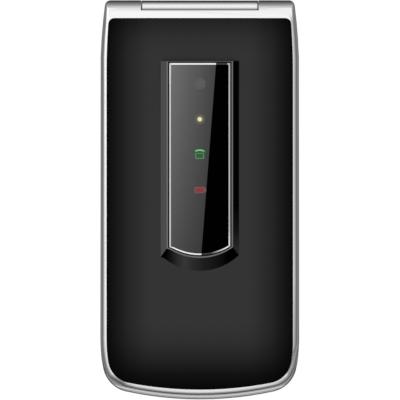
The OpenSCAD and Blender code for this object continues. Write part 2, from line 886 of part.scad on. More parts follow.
module window_glass() {
    color([0.2, 0.2, 0.22]) window_prism(window_width / 2 - trim_width - fit, window_y1 - trim_width - fit,
        window_y0 + trim_width + fit, glass_under, glass_top);
}

module window_trim() {
    color("white") difference() {
        window_prism(window_width / 2, window_y1, window_y0, glass_under, plinth_top + 0.03);
        window_prism(window_width / 2 - trim_width, window_y1 - trim_width, window_y0 + trim_width, 0, far);
    }
}

module lid_inner_cover() {
    color("silver") difference() {
        prism(lid_outline, lid_under, lid_under + inner_cover_thickness, side_wall + 0.1,
            lid_inner_upper - 0.1);
        translate([0, display_y, 0])
            rounded_block(lens_size[0] + 2 * lens_gap, lens_size[1] + 2 * lens_gap, 0,
                lens_under + lens_thickness + 0.02, 2);
        translate([0, display_y, 0])
            rounded_block(lens_size[0] - 2 * lens_seat[0], lens_size[1] - 2 * lens_seat[1], 0, far, 1);
        translate([0, earpiece_y, 0]) rounded_block(earpiece_slot[0], earpiece_slot[1], 0, far, 0.6);
        for (p = lid_screw_places)
            pair() translate([p[0], p[1], 0]) {
                cylinder(h = lid_under + 0.9, r = lid_screw_head + 0.1, $fn = 48);
                cylinder(h = far, r = lid_screw_shank + fit, $fn = 48);
            }
    }
}

module display_lens() {
    color([0.15, 0.16, 0.2]) translate([0, display_y, 0])
        rounded_block(lens_size[0], lens_size[1], lens_under, lens_under + lens_thickness, 1.9);
}

module display_module() {
    color("lightsteelblue") middle_box(module_size[0] / 2, display_y - module_size[1] / 2,
        display_y + module_size[1] / 2, module_under, module_under + module_thickness);
}

module earpiece() {
    color("black") translate([0, earpiece_y, 0]) {
        rounded_block(13, 4.6, module_under, module_under + 1.9, 1);
        rounded_block(earpiece_slot[0] - 0.6, earpiece_slot[1] - 0.4, lid_under + 0.5, module_under, 0.4);
    }
}

module lid_board() {
    color("darkgreen") middle_box(lid_board_half, -half_length + 12, hinge_front - 3,
        lid_board_under, lid_board_top);
}

module camera_module() {
    color("black") translate([0, camera_y, 0]) difference() {
        union() {
            translate([-3.4, -3.4, lid_board_top]) cube([6.8, 6.8, cover_under - lid_board_top - fit]);
            translate([0, 0, lid_board_top])
                cylinder(h = guide_top - lid_board_top, r = camera_radius, $fn = 64);
        }
        translate([0, 0, guide_top - 0.5])
            cylinder(h = 1, r1 = 0.9, r2 = camera_radius, $fn = 64);
    }
}

module flash_led() {
    color("lightyellow") translate([0, led_y, lid_board_top]) {
        translate([-1.4, -1.4, 0]) cube([2.8, 2.8, 0.7]);
        cylinder(h = guide_top - lid_board_top, r = led_radius, $fn = 32);
    }
}

// A handset over a small dialling block
module call_icon() {
    color("palegreen") translate([0, call_y_lid, 0]) {
        rounded_block(call_guide[0], call_guide[1], lid_board_top, guide_top - sign_depth, guide_corner);
        difference() {
            translate([0, -0.3, guide_top - sign_depth]) cylinder(h = sign_depth, r = 1.5, $fn = 48);
            translate([0, -0.9, 0]) cylinder(h = far, r = 0.95, $fn = 48);
            box([-2, -3, 0], [2, -0.6, far]);
        }
        translate([0, -0.7, 0]) rounded_block(1.5, 1.1, guide_top - sign_depth, guide_top, 0.3);
    }
}

// A cell with its terminal at one end
module battery_icon() {
    color("indianred") translate([0, battery_y_lid, 0]) {
        rounded_block(battery_guide[0], battery_guide[1], lid_board_top, guide_top - sign_depth,
            guide_corner);
        translate([-0.2, 0, 0]) rounded_block(2.6, 1.6, guide_top - sign_depth, guide_top, 0.2);
        box([1, -0.35, guide_top - sign_depth], [1.5, 0.35, guide_top]);
    }
}

module lid_magnet() {
    color("darkgray") middle_box(3, magnet_y[0], magnet_y[1], module_under - fit, module_under + 1.6);
}

module lid_screws() {
    color("gray") for (p = lid_screw_places)
        pair() translate([p[0], p[1], lid_under]) {
            difference() {
                translate([0, 0, 0.1]) cylinder(h = 0.8, r = lid_screw_head, $fn = 48);
                cylinder(h = 0.5, r = 0.6, $fn = 6);
            }
            translate([0, 0, 0.9])
                cylinder(h = ledge_under - lid_under - 1.7, r = lid_screw_shank, $fn = 48);
        }
}

// ---- Hinge parts ----

module cam_housing() {
    color("gainsboro") difference() {
        along_hinge(housing_radius, -housing_end, -housing_start);
        along_hinge(cam_radius + pin_clearance, -housing_end + 1, -housing_start - 1);
        along_hinge(shaft_radius + pin_clearance, -housing_end + 1, 0);
    }
}

module hinge_shaft() {
    color("dimgray") {
        along_hinge(shaft_radius, -housing_start - 2.1, -shaft_end - 0.1);
        along_hinge(cam_radius, -housing_start - 2.1, -housing_start - 1.1);
    }
}

module hinge_pin() {
    color("dimgray") difference() {
        along_hinge(pin_radius, pin_start + 0.1, pin_end);
        along_hinge(pin_radius - 0.8, 0, far);
    }
}

// Points of one ring of the spring's wire at a share s of its length
function spring_ring(s) = let (
    turn = 360 * spring_turns * s,
    x = spring_start + (spring_end - spring_start) * s
) [for (k = [0:spring_sides - 1]) let (
    w = 360 * k / spring_sides,
    r = spring_radius + spring_wire * cos(w)
) [x + spring_wire * sin(w), hinge_y + r * cos(turn), hinge_z + r * sin(turn)]];

module hinge_spring() {
    rings = spring_turns * 12;
    n = spring_sides;
    points = [for (i = [0:rings]) each spring_ring(i / rings)];
    sides = [for (i = [0:rings - 1]) for (k = [0:n - 1]) let (m = (k + 1) % n)
        each [[i * n + k, i * n + m, (i + 1) * n + m], [i * n + k, (i + 1) * n + m, (i + 1) * n + k]]];
    color("silver") polyhedron(points, concat(
        [[for (k = [n - 1:-1:0]) k]], sides, [[for (k = [0:n - 1]) rings * n + k]]));
}

rear_case();
front_frame();
hinge_barrel();
main_board();
shield_can();
key_domes();
battery();
battery_contacts();
battery_cover();
card_holder();
loudspeaker();
microphone();
vibration_motor();
vibration_weight();
usb_socket();
audio_jack();
charging_contacts();
antenna();
volume_rocker();
side_key();
base_screws();
rest_pads();
number_key(3, 0);  // key_1
number_key(3, 1);  // key_2
number_key(3, 2);  // key_3
number_key(2, 0);  // key_4
number_key(2, 1);  // key_5
number_key(2, 2);  // key_6
number_key(1, 0);  // key_7
number_key(1, 1);  // key_8
number_key(1, 2);  // key_9
number_key(0, 0);  // key_star
number_key(0, 1);  // key_0
number_key(0, 2);  // key_hash
key(-call_x, call_y, call_size);  // call_key
key(call_x, call_y, call_size);  // end_key
key(-soft_x, soft_y, soft_size);  // soft_key_left
key(soft_x, soft_y, soft_size);  // soft_key_right
nav_rocker();
ok_key();
lid_frame();
lid_cover();
window_glass();
window_trim();
lid_inner_cover();
display_lens();
display_module();
earpiece();
lid_board();
camera_module();
flash_led();
call_icon();
battery_icon();
lid_magnet();
lid_screws();
cam_housing();
hinge_spring();
hinge_shaft();
hinge_pin();
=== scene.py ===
"""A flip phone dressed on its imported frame: lid cover, window, keys, screen and finishes."""

import math

import bmesh
import bpy
from mathutils import Matrix, Vector


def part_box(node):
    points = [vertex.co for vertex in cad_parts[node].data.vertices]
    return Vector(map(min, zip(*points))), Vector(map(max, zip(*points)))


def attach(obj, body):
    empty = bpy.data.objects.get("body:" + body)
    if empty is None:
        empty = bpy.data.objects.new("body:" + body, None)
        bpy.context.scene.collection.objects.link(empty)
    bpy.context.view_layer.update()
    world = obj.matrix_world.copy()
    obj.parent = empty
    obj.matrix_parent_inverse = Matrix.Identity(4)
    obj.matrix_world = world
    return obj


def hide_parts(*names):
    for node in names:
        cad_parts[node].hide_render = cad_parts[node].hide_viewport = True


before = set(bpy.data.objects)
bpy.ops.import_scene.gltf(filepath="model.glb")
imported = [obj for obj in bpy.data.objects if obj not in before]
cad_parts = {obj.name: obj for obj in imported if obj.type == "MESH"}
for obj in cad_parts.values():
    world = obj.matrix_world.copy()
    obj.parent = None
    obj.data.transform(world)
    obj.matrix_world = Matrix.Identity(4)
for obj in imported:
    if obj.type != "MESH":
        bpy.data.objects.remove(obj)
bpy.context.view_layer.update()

bl_info = {
    "name": "Flip Phone",
    "version": (1, 0, 0),
    "blender": (4, 5, 0),
    "location": "View3D > Sidebar > Flip Phone",
    "description": "Dresses the frame of a flip phone with its covers, window, keys and finishes",
    "category": "Object",
}

MM = 0.001
COVER_LOW, COVER_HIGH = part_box("lid_cover")
GLASS_LOW, GLASS_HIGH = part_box("window_glass")
TRIM_LOW, TRIM_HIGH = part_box("window_trim")
SCREEN_LOW, SCREEN_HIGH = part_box("display_lens")
BARREL_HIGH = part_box("hinge_barrel")[1]
PLATE_TOP = GLASS_LOW.z - 0.1 * MM
BARREL_GAP = 0.12 * MM
GLASS_EDGE, SCREEN_EDGE, SCREEN_CORNER = 0.08 * MM, 0.15 * MM, 1.9 * MM
INLAY = 0.02 * MM
CAMERA_DISC, CAMERA_RING, CAMERA_POINT = 1.55 * MM, 1.1 * MM, 0.2 * MM
LAMP_REACH = 1.4 * MM
LAMP_HALO = (0.08, 0.074, 0.036)

# Corners of a node's mesh that are merged, and the angle in degrees below which its edges are smooth.
MERGE_DISTANCE, SMOOTH_BELOW = 0.002 * MM, 32
# Half the floor's width, how far it lies below the phone, and the width of the view at the phone.
FLOOR_HALF, FLOOR_DROP, VIEW_WIDTH = 6.0, 0.1 * MM, 108.25 * MM

# The slanted edge of the window's painted reflection: its places at the glass's upper and lower ends, and half
# its softness.
REFLECTION_TOP, REFLECTION_BOTTOM, REFLECTION_BLUR = 4.35 * MM, 0.43 * MM, 0.04 * MM
# The radius of the base's lower end, seen from above.
END_RADIUS = 94.3 * MM

# Moulding grains: scale, roughness, its variation and the strength of the bump.
LACQUER_GRAIN = (400.0, 0.06, 0.03, 0.0)
LIGHT_GRAIN = (2000.0, 0.35, 0.1, 0.1)

# The plating's painted reflection, from an upright face (0) to a level one (1), as shares from dark to bright.
SIDE_STOPS = [(0.0, 0.4), (0.13, 0.36), (0.2, 0.05), (0.45, 0.3), (0.56, 0.3), (0.66, 0.14), (0.77, 0.12),
              (0.875, 0.24), (0.945, 0.54), (0.987, 0.88), (1.0, 1.0)]
END_STOPS = [(0.0, 0.4), (0.13, 0.36), (0.2, 0.03), (0.42, 0.02), (0.56, 0.07), (0.755, 0.24), (0.82, 0.34),
             (0.95, 0.77), (1.0, 0.86)]
FRONT_STOPS = [(0.0, 0.4), (0.13, 0.36), (0.2, 0.06), (0.5, 0.14), (0.87, 0.2), (0.95, 0.34), (1.0, 0.6)]
BARREL_STOPS = [(0.0, 0.1), (0.15, 0.0), (0.32, 0.0), (0.44, 0.17), (0.53, 0.45), (0.6, 0.85), (0.66, 1.08),
                (0.75, 1.08), (0.8, 0.62), (0.83, 0.27), (0.86, 0.1), (0.88, 0.0), (0.91, 0.3), (1.0, 0.5)]
# Painted highlight and shade lines along the base's lower rim, from inside to outside.
RIM_STOPS = [(0.0, 0.55), (0.21, 0.7), (0.41, 1.32), (0.57, 0.6), (0.79, 0.9), (1.0, 0.8)]

# How far from the cover's middle its crown is shaped, as shares of its size.
CROWN_SHARES = (0.97, 0.93, 0.88, 0.82, 0.75, 0.66, 0.56, 0.45, 0.32, 0.18, 0.06)
# The dish in a key's top: shares of its size, with the drop to each in millimetres.
KEY_DISH = ((0.9, -0.01), (0.75, -0.02), (0.5, -0.02), (0.2, -0.01))
# How far the printed figures, the drawn marks and the rocker's arrows lie below a key's highest point.
FIGURE_DROP, MARK_DROP, ARROW_DROP = 0.035 * MM, 0.06 * MM, 0.115 * MM
# The figure on each number key.
NUMBER_KEYS = {"key_" + digit: digit for digit in "123456789"}
NUMBER_KEYS.update({"key_star": "*", "key_0": "0", "key_hash": "#"})


def distance(name, description, default):
    """A length in metres, shown in the scene's unit."""
    return bpy.props.FloatProperty(
        name=name, description=description, default=default, min=0.0, unit="LENGTH", precision=5)


def colour(name, description, default):
    """A colour swatch."""
    return bpy.props.FloatVectorProperty(
        name=name, description=description, default=default, size=3, min=0.0, max=1.0, subtype="COLOR")


class FlipPhoneLid(bpy.types.PropertyGroup):
    """Sizes of the lid's cover and window."""

    end_radius: distance("End radius", "Radius of the shallow curve of the cover's lower end", 101.2 * MM)
    corner_radius: distance("Corner radius", "Radius of the cover's lower corners", 6.8 * MM)
    lead_radius: distance("Lead-in radius", "Radius between a side and its lower corner", 36.4 * MM)
    corner_inset: distance("Corner inset", "Distance of the corner's centre from the side", 7.17 * MM)
    upper_radius: distance("Upper radius", "Radius of the cover's upper corners", 1.6 * MM)
    taper_length: distance("Taper length", "Length over which the sides draw in", 15.3 * MM)
    taper_radius: distance("Taper radius", "Radius of the drawn-in part of the sides", 200 * MM)
    crown: distance("Crown", "Rise of the cover from its edge to its middle", 0.4 * MM)
    edge: distance("Edge", "Rounding of the cover's edge", 0.3 * MM)
    side_bevel: distance("Side bevel", "Width of the plinth's bevel at each side", 1.62 * MM)
    end_bevel: distance("End bevel", "Length of the plinth's bevel at its lower end", 3.5 * MM)
    plinth_rim: distance("Plinth rim", "Width of the plinth's level rim round the window", 0.7 * MM)
    pocket: distance("Pocket gap", "Gap between the plinth's rim and the window's outline", 0.35 * MM)
    window_radius: distance("Window radius", "Radius of the window's curved lower end", 15.3 * MM)
    trim: distance("Outline", "Width of the window's bright outline", 0.5 * MM)


class FlipPhoneKeys(bpy.types.PropertyGroup):
    """Sizes of the keys and their figures."""

    edge: distance("Key edge", "Rounding of a key's upper edge", 0.28 * MM)
    corner: distance("Key corner", "Radius of a key's corners, seen from above", 1.4 * MM)
    figure: distance("Figure height", "Height of the figures on the keys", 5.8 * MM)
    ink: distance("Ink", "Thickness of a printed figure", 0.03 * MM)


class FlipPhoneColours(bpy.types.PropertyGroup):
    """Colours of the phone's finishes."""

    # Painted sheen: the cover's colour in its middle, made darker toward its edges.
    black: colour("Cover", "The middle of the black cover", (0.032, 0.032, 0.0335))
    # Silver and silver dark are the bright and dark ends of the plating's painted reflection.
    silver: colour("Silver", "The plated frame and base", (0.93, 0.93, 0.94))
    silver_dark: colour("Silver dark", "The plating where it reflects the least", (0.06, 0.06, 0.065))
    deck: colour("Deck", "The keypad deck", (0.36, 0.36, 0.37))
    # Painted sheen on the plinth's left bevel, as if lit from the left.
    bevel: colour("Plinth bevel", "The left bevel of the plinth", (0.07, 0.07, 0.072))
    # Painted highlight on the level rim round the window.
    rim: colour("Plinth rim", "The narrow rim round the window", (0.15, 0.15, 0.153))
    outline: colour("Outline", "The bright outline of the window", (0.88, 0.88, 0.89))
    # Pale colour of the painted reflection on the window's glass.
    glass_reflection: colour("Window film", "The pale side of the window's film", (0.122, 0.122, 0.125))
    call: colour("Call light", "The receiver of the call light", (0.18, 0.5, 0.2))
    battery: colour("Battery light", "The cell of the battery light", (0.215, 0.035, 0.045))
    lamp: colour("Lamp", "The lamp behind the window", (0.76, 0.72, 0.52))
    keys: colour("Keys", "The key caps", (0.74, 0.74, 0.76))
    ink: colour("Figures", "The figures on the keys", (0.02, 0.02, 0.022))


# ---- Building pieces ----

def linked(name, data):
    """A new object in the scene."""
    item = bpy.data.objects.new(name, data)
    bpy.context.scene.collection.objects.link(item)
    return item


def new_piece(name, bm, sharp=38):
    """A smooth-shaded object from a bmesh, with edges above an angle in degrees kept sharp."""
    bmesh.ops.recalc_face_normals(bm, faces=bm.faces)
    mesh = bpy.data.meshes.new(name)
    bm.to_mesh(mesh)
    bm.free()
    for polygon in mesh.polygons:
        polygon.use_smooth = True
    mesh.set_sharp_from_angle(angle=math.radians(sharp))
    return linked(name, mesh)


def arc(centre, radius, start, end, steps):
    """Points of an arc after its first one, angles in degrees."""
    angles = [math.radians(start + (end - start) * i / steps) for i in range(1, steps + 1)]
    return [Vector((centre[0] + radius * math.cos(t), centre[1] + radius * math.sin(t))) for t in angles]


def outline_face(bm, points, z):
    """A flat face through the points at a height."""
    return bm.faces.new([bm.verts.new((p[0], p[1], z)) for p in points])


def push_face(bm, face):
    """Extrudes a face in place and gives back the new top face."""
    made = bmesh.ops.extrude_face_region(bm, geom=[face, *face.edges])["geom"]
    return [item for item in made if isinstance(item, bmesh.types.BMFace)][0]


def prism(bm, points, low, height):
    """Makes a straight-sided block on an outline and gives back its top face."""
    top = push_face(bm, outline_face(bm, points, low))
    bmesh.ops.translate(bm, vec=(0, 0, height), verts=top.verts)
    return top


def shrink_in(bm, face, share, rise, middle):
    """Insets a face toward a middle point by a share of its size and lifts it."""
    bmesh.ops.inset_region(bm, faces=[face], thickness=0.0, use_even_offset=True)
    bmesh.ops.scale(bm, vec=(share, share, 1), verts=face.verts, space=Matrix.Translation(-middle))
    bmesh.ops.translate(bm, vec=(0, 0, rise), verts=face.verts)


def middle_of(low, high):
    """The middle between two corners, seen from above."""
    return (low.x + high.x) / 2, (low.y + high.y) / 2


def rounded_plate(bm, points, low, high, edge, steps=4):
    """Makes a plate whose upper edge is rounded and gives back its top face."""
    top = prism(bm, points, low, high - low - edge)
    for i in range(steps):
        a, b = (math.radians(90 * k / steps) for k in (i, i + 1))
        bmesh.ops.inset_region(bm, faces=[top], thickness=edge * (math.cos(a) - math.cos(b)),
                               depth=edge * (math.sin(b) - math.sin(a)), use_even_offset=True)
    return top


def rounded_rectangle(low, high, radius, steps=6, inset=0.0):
    """Outline of a rectangle with round corners, drawn in from two corner points by an inset."""
    x0, y0 = low[0] + inset + radius, low[1] + inset + radius
    x1, y1 = high[0] - inset - radius, high[1] - inset - radius
    centres = ((x1, y1), (x0, y1), (x0, y0), (x1, y0))
    return [point for i, centre in enumerate(centres)
            for point in arc(centre, radius, 90 * i, 90 * i + 90, steps)]


def circle_points(centre, radius, steps=48):
    """Outline of a full circle."""
    return arc(centre, radius, 0, 360, steps)


def window_outline(half, top, bottom, radius):
    """A straight-sided outline with a curved lower end."""
    a = math.degrees(math.asin(half / radius))
    lower = arc((0, bottom + radius), radius, -90 - a, -90 + a, 32)
    left = [Vector((-half, top + (lower[0][1] - top) * i / 8)) for i in range(9)]
    right = [Vector((half, lower[-1][1] + (top - lower[-1][1]) * i / 8)) for i in range(1, 9)]
    return left + lower[1:] + right


def cover_outline(lid):
    """Outline of the black cover: shallow end, round corners, long lead-ins and drawn-in sides."""
    half, bottom, top = COVER_HIGH.x, COVER_LOW.y, COVER_HIGH.y
    reach = lid.end_radius - lid.corner_radius
    alpha = math.asin((half - lid.corner_inset) / reach)
    c1 = Vector((0, bottom + lid.end_radius))
    c2 = c1 + reach * Vector((math.sin(alpha), -math.cos(alpha)))
    lead = lid.lead_radius - lid.corner_radius
    beta = math.acos((lid.lead_radius - lid.corner_inset) / lead)
    c3 = Vector((half - lid.lead_radius, c2.y + lead * math.sin(beta)))
    taper_y = top - lid.taper_length
    inner = lid.taper_radius - lid.upper_radius
    theta = math.asin((lid.taper_length - lid.upper_radius) / inner)
    c4 = Vector((half - lid.taper_radius + inner * math.cos(theta), top - lid.upper_radius))
    a, b, t = (math.degrees(angle) for angle in (alpha, beta, theta))
    right = [Vector((0, bottom))]
    right += arc(c1, lid.end_radius, -90, a - 90, 20)
    right += arc(c2, lid.corner_radius, a - 90, -b, 18)
    right += arc(c3, lid.lead_radius, -b, 0, 8)
    right += [Vector((half, c3.y + (taper_y - c3.y) * i / 16)) for i in range(1, 16)]
    right += arc((half - lid.taper_radius, taper_y), lid.taper_radius, 0, t, 8)
    right += arc(c4, lid.upper_radius, t, 90, 8)
    right += [Vector((c4.x * (1 - i / 12), top)) for i in range(1, 12)]
    left = [Vector((-p.x, p.y)) for p in reversed(right[1:])]
    return right + [Vector((0, top))] + left


def figure_mesh(name, text, centre, height, thickness):
    """A printed figure as a thin mesh that lies on a surface."""
    curve = bpy.data.curves.new(name, "FONT")
    curve.body = text
    curve.align_x = "CENTER"
    curve.align_y = "CENTER"
    curve.size = height
    curve.bevel_depth = height * 0.025
    curve.bevel_resolution = 0
    curve.resolution_u = 6
    words = linked(name + "_words", curve)
    bpy.context.view_layer.update()
    evaluated = words.evaluated_get(bpy.context.evaluated_depsgraph_get())
    mesh = bpy.data.meshes.new_from_object(evaluated)
    bpy.data.objects.remove(words)
    xs = [v.co.x for v in mesh.vertices]
    ys = [v.co.y for v in mesh.vertices]
    middle = Vector(((min(xs) + max(xs)) / 2, (min(ys) + max(ys)) / 2, 0))
    flatten = Matrix.Diagonal((1, 1, thickness / (2 * curve.bevel_depth), 1))
    mesh.transform(Matrix.Translation(Vector(centre)) @ flatten @ Matrix.Translation(-middle))
    return linked(name, mesh)


def finish_piece(piece, body, finish, slot, *nodes):
    """Gives a piece its finish and body, and the nodes that it stands for."""
    piece.data.materials.clear()
    piece.data.materials.append(FINISHES[finish])
    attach(piece, body)
    if nodes:
        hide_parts(*nodes)


# ---- Materials ----

class Wiring:
    """A node tree that grows by calls. Most of them give back the output of the node that they add."""

    def __init__(self, tree):
        self.nodes, self.links = tree.nodes, tree.links

    def feed(self, node, *values):
        """Fills a node's inputs in their order, by a link or by a value; None leaves one as it is."""
        for place, value in zip(node.inputs, values):
            if isinstance(value, bpy.types.NodeSocket):
                self.links.new(value, place)
            elif value is not None:
                place.default_value = value
        return node

    def add(self, kind, *values):
        """A new node with its inputs filled."""
        return self.feed(self.nodes.new("ShaderNode" + kind), *values)

    def math(self, operation, *values):
        """Arithmetic on numbers."""
        node = self.add("Math", *values)
        node.operation = operation
        return node.outputs[0]

    def vector(self, operation, *values):
        """Arithmetic on places and colours."""
        node = self.add("VectorMath", *values)
        node.operation = operation
        return node.outputs["Value" if operation == "DISTANCE" else "Vector"]

    def scaled(self, vector, size):
        """A vector or colour times a number."""
        return self.vector("SCALE", vector, None, None, size)

    def span(self, value, first, last, low=0.0, high=1.0):
        """A number taken from one range to another and held inside it."""
        return self.add("MapRange", value, first, last, low, high).outputs[0]

    def mix(self, share, first, last):
        """A colour between two others."""
        node = self.add("Mix", share, *[None] * 5, first, last)
        node.data_type = "RGBA"
        return node.outputs[2]

    def mix_numbers(self, share, first, last):
        """A number between two others."""
        return self.add("Mix", share, None, first, last).outputs[0]

    def ramp(self, value, stops):
        """A colour from a ramp with the given places and colours."""
        node = self.add("ValToRGB", value)
        elements = node.color_ramp.elements
        while len(elements) < len(stops):
            elements.new(0.5)
        for element, (place, rgb) in zip(elements, stops):
            element.position = place
            element.color = (*rgb, 1)
        return node.outputs["Color"]

    def greys(self, value, stops):
        """A grey from a ramp with the given places and shares of white."""
        return self.ramp(value, [(place, (grey, grey, grey)) for place, grey in stops])

    def split(self, vector):
        """The three parts of a vector."""
        return tuple(self.add("SeparateXYZ", vector).outputs)

    def spot(self, kind="Object"):
        """The place of a point in the piece's own coordinates, or another of its coordinates."""
        return self.add("TexCoord").outputs[kind]

    def parts(self, kind="Object"):
        """The three parts of a point's place, or of its normal."""
        return self.split(self.spot(kind))

    def reach(self, centre):
        """How far a point is from a centre, seen from above."""
        return self.vector("DISTANCE", self.vector("MULTIPLY", self.spot(), (1, 1, 0)), centre)

    def group(self, tree, *values):
        """The outputs of a node group."""
        node = self.nodes.new("ShaderNodeGroup")
        node.node_tree = tree
        return tuple(self.feed(node, *values).outputs)


GROUPS = {}


def new_group(name, outputs):
    """An empty shader node group with the given outputs, its wiring and its output node."""
    group = bpy.data.node_groups.new(name, "ShaderNodeTree")
    for output in outputs:
        group.interface.new_socket(name=output, in_out="OUTPUT", socket_type="NodeSocketFloat")
    return group, Wiring(group), group.nodes.new("NodeGroupOutput")


def grain_group():
    """Fine moulding grain: a height for the bump and a slightly varied roughness."""
    group, wiring, end = new_group("moulded_grain", ("Height", "Roughness"))
    for name, value in (("Scale", 900.0), ("Roughness", 0.4), ("Variation", 0.08)):
        made = group.interface.new_socket(name=name, in_out="INPUT", socket_type="NodeSocketFloat")
        made.default_value = value
    start = group.nodes.new("NodeGroupInput")
    fine = wiring.add("TexNoise", wiring.spot(), None, start.outputs["Scale"], 3.0)
    broad = wiring.add("TexNoise", wiring.spot(), None, 60.0)
    varied = wiring.math("MULTIPLY", broad.outputs["Fac"], start.outputs["Variation"])
    wiring.feed(end, fine.outputs["Fac"], wiring.math("ADD", varied, start.outputs["Roughness"]))
    return group


def slope_group():
    """How far a surface faces up or down, for the sides and for the ends, and how much it faces an end.

    The slope drives the plating's painted reflection, with painted light from the left: it counts a little
    less to the right, and less still there near the lower end, as painted shade. It counts more toward the
    lower end, and is dimmed or brightened where the frame turns its corners, as painted shade and painted
    highlights.
    """
    group, wiring, end = new_group("slope_and_painted_light", ("Side", "End", "Facing end"))
    x, y, z = wiring.parts("Normal")
    crosswise, lengthwise, lift = (wiring.math("ABSOLUTE", part) for part in (x, y, z))
    # The small number keeps the share at 0 where the surface is level.
    total = wiring.math("ADD", wiring.math("ADD", crosswise, 0.001), lengthwise)
    share = wiring.math("DIVIDE", lengthwise, total)
    # Painted shade: the right side darker toward the lower end.
    near_end = wiring.span(wiring.parts()[1], -22 * MM, -50 * MM)
    lower_right = wiring.math("MULTIPLY", near_end, wiring.span(x, 0.0, 0.6))
    leaned = wiring.math("MULTIPLY", lift, wiring.math("MULTIPLY_ADD", x, -0.05, 1.0))
    side = wiring.math("MULTIPLY_ADD", lower_right, -0.12, leaned)
    # Painted shade where the frame turns its lower left corner.
    left_turn = wiring.greys(share, [(0.44, 0.0), (0.58, 1.0), (0.7, 1.0), (0.84, 0.0)])
    lower_left = wiring.math("MULTIPLY", wiring.math("MULTIPLY", left_turn, wiring.span(x, 0.0, -0.1)),
                             wiring.span(y, -0.05, -0.15))
    raised = wiring.math("MULTIPLY", lift, wiring.span(y, 0.0, -1.0, 1.0, 1.27))
    ending = wiring.math("MULTIPLY_ADD", lower_left, -0.45, raised)
    # Painted shade at the lower right corner and a painted highlight at the upper right corner.
    turns = []
    for stops, lean, amount in (([(0.04, 0.0), (0.12, 1.0), (0.36, 1.0), (0.48, 0.0)], -0.04, -0.24),
                                ([(0.15, 0.0), (0.35, 1.0), (0.8, 1.0), (0.95, 0.0)], 0.04, 0.1)):
        right_turn = wiring.math("MULTIPLY", wiring.greys(share, stops), wiring.span(x, 0.0, 0.03))
        turns.append(wiring.math("MULTIPLY", right_turn, wiring.span(y, lean / 4, lean, 0.0, amount)))
    both_turns = wiring.math("ADD", *turns)
    wiring.feed(end, wiring.math("ADD", side, both_turns), wiring.math("ADD", ending, both_turns), share)
    return group


def reflection_edge_group():
    """The slanted edge of the window's painted reflection, 0 on its pale side and 1 beyond, and how far across
    the glass a point is.
    """
    group, wiring, end = new_group("reflection_edge", ("Beyond", "Across"))
    x, y, _ = wiring.parts()
    slant = (REFLECTION_TOP - REFLECTION_BOTTOM) / (GLASS_HIGH.y - GLASS_LOW.y)
    edge = wiring.math("MULTIPLY_ADD", y, -slant, slant * GLASS_LOW.y - REFLECTION_BOTTOM)
    beyond = wiring.span(wiring.math("ADD", edge, x), -REFLECTION_BLUR, REFLECTION_BLUR)
    wiring.feed(end, beyond, wiring.span(x, GLASS_LOW.x, GLASS_HIGH.x))
    return group


class Finish(Wiring):
    """A Principled material with moulding grain, given by its scale, roughness, variation and bump."""

    def __init__(self, name, rgb, grain, metallic=0.0, coat=0.0, ior=None):
        self.material = bpy.data.materials.new(name)
        self.material.use_nodes = True
        super().__init__(self.material.node_tree)
        self.shader = self.nodes["Principled BSDF"].inputs
        self.shader["Base Color"].default_value = (*rgb, 1)
        self.shader["Metallic"].default_value = metallic
        self.shader["Coat Weight"].default_value = coat
        if ior is not None:
            self.shader["IOR"].default_value = ior
        scale, roughness, variation, bump = grain
        height, varied = self.group(GROUPS["grain"], scale, roughness, variation)
        raised = self.add("Bump", bump, 0.02 * MM, None, height)
        self.links.new(varied, self.shader["Roughness"])
        self.links.new(raised.outputs["Normal"], self.shader["Normal"])

    def painted(self, colour):
        """The material, in a colour that changes over the surface."""
        self.links.new(colour, self.shader["Base Color"])
        return self.material


def plain(name, rgb, roughness=0.4, metallic=0.0, coat=0.0, scale=900.0, bump=0.15):
    """A moulded or metal finish in one colour with fine grain."""
    return Finish(name, rgb, (scale, roughness, 0.06, bump), metallic, coat).material


def blend_colours(a, b, share):
    """A colour between two others."""
    return tuple(x + (y - x) * share for x, y in zip(a, b))


def shaded(rgb, share):
    """A darker shade of a colour."""
    return blend_colours((0, 0, 0), rgb, share)


def plated(name, colours, side_stops, end_stops):
    """Bright plating with a painted reflection whose tone follows the slope, by places and shares from dark to
    bright.
    """
    finish = Finish(name, colours.silver, (1500.0, 0.2, 0.05, 0.04), metallic=1.0)
    finish.shader["Specular Tint"].default_value = (0.4, 0.4, 0.41, 1)
    side, end, facing_end = finish.group(GROUPS["slope"])
    tones = [finish.ramp(slope, [(place, blend_colours(colours.silver_dark, colours.silver, share))
                                 for place, share in stops])
             for slope, stops in ((side, side_stops), (end, end_stops))]
    return finish, finish.mix(facing_end, *tones)


def plated_silver(colours):
    """The plating of the lid's frame, the rear case and the side keys."""
    finish, tone = plated("plated_silver", colours, SIDE_STOPS, END_STOPS)
    return finish.painted(tone)


def plated_barrel(colours):
    """The plating of the hinge barrel, with a painted highlight band, and painted shadow at both of its ends.
    """
    finish, tone = plated("plated_barrel", colours, SIDE_STOPS, BARREL_STOPS)
    # Painted shadow in the gaps where the barrel's ends meet the lid's knuckles.
    x, _, _ = finish.parts()
    end = finish.span(finish.math("ABSOLUTE", x), BARREL_HIGH.x - 0.28 * MM, BARREL_HIGH.x - 0.14 * MM)
    return finish.painted(finish.mix(end, tone, (0.02, 0.02, 0.021, 1)))


def plated_deck(colours):
    """The plating of the front frame: satin grey on the deck, and painted highlight and shade lines along the
    lower rim.
    """
    finish, tone = plated("plated_deck", colours, FRONT_STOPS, FRONT_STOPS)
    low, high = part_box("front_frame")
    # Painted highlight and shade lines that follow the curve of the lower rim.
    reach = finish.reach((0, low.y + END_RADIUS, 0))
    line = finish.greys(finish.span(reach, END_RADIUS - 1.4 * MM, END_RADIUS), RIM_STOPS)
    below = finish.math("LESS_THAN", finish.parts()[2], high.z - 0.3 * MM)
    level = finish.math("GREATER_THAN", finish.parts("Normal")[2], 0.95)
    deck = finish.math("MULTIPLY", below, level)
    return finish.painted(finish.mix(deck, finish.vector("MULTIPLY", tone, line), (*colours.deck, 1)))


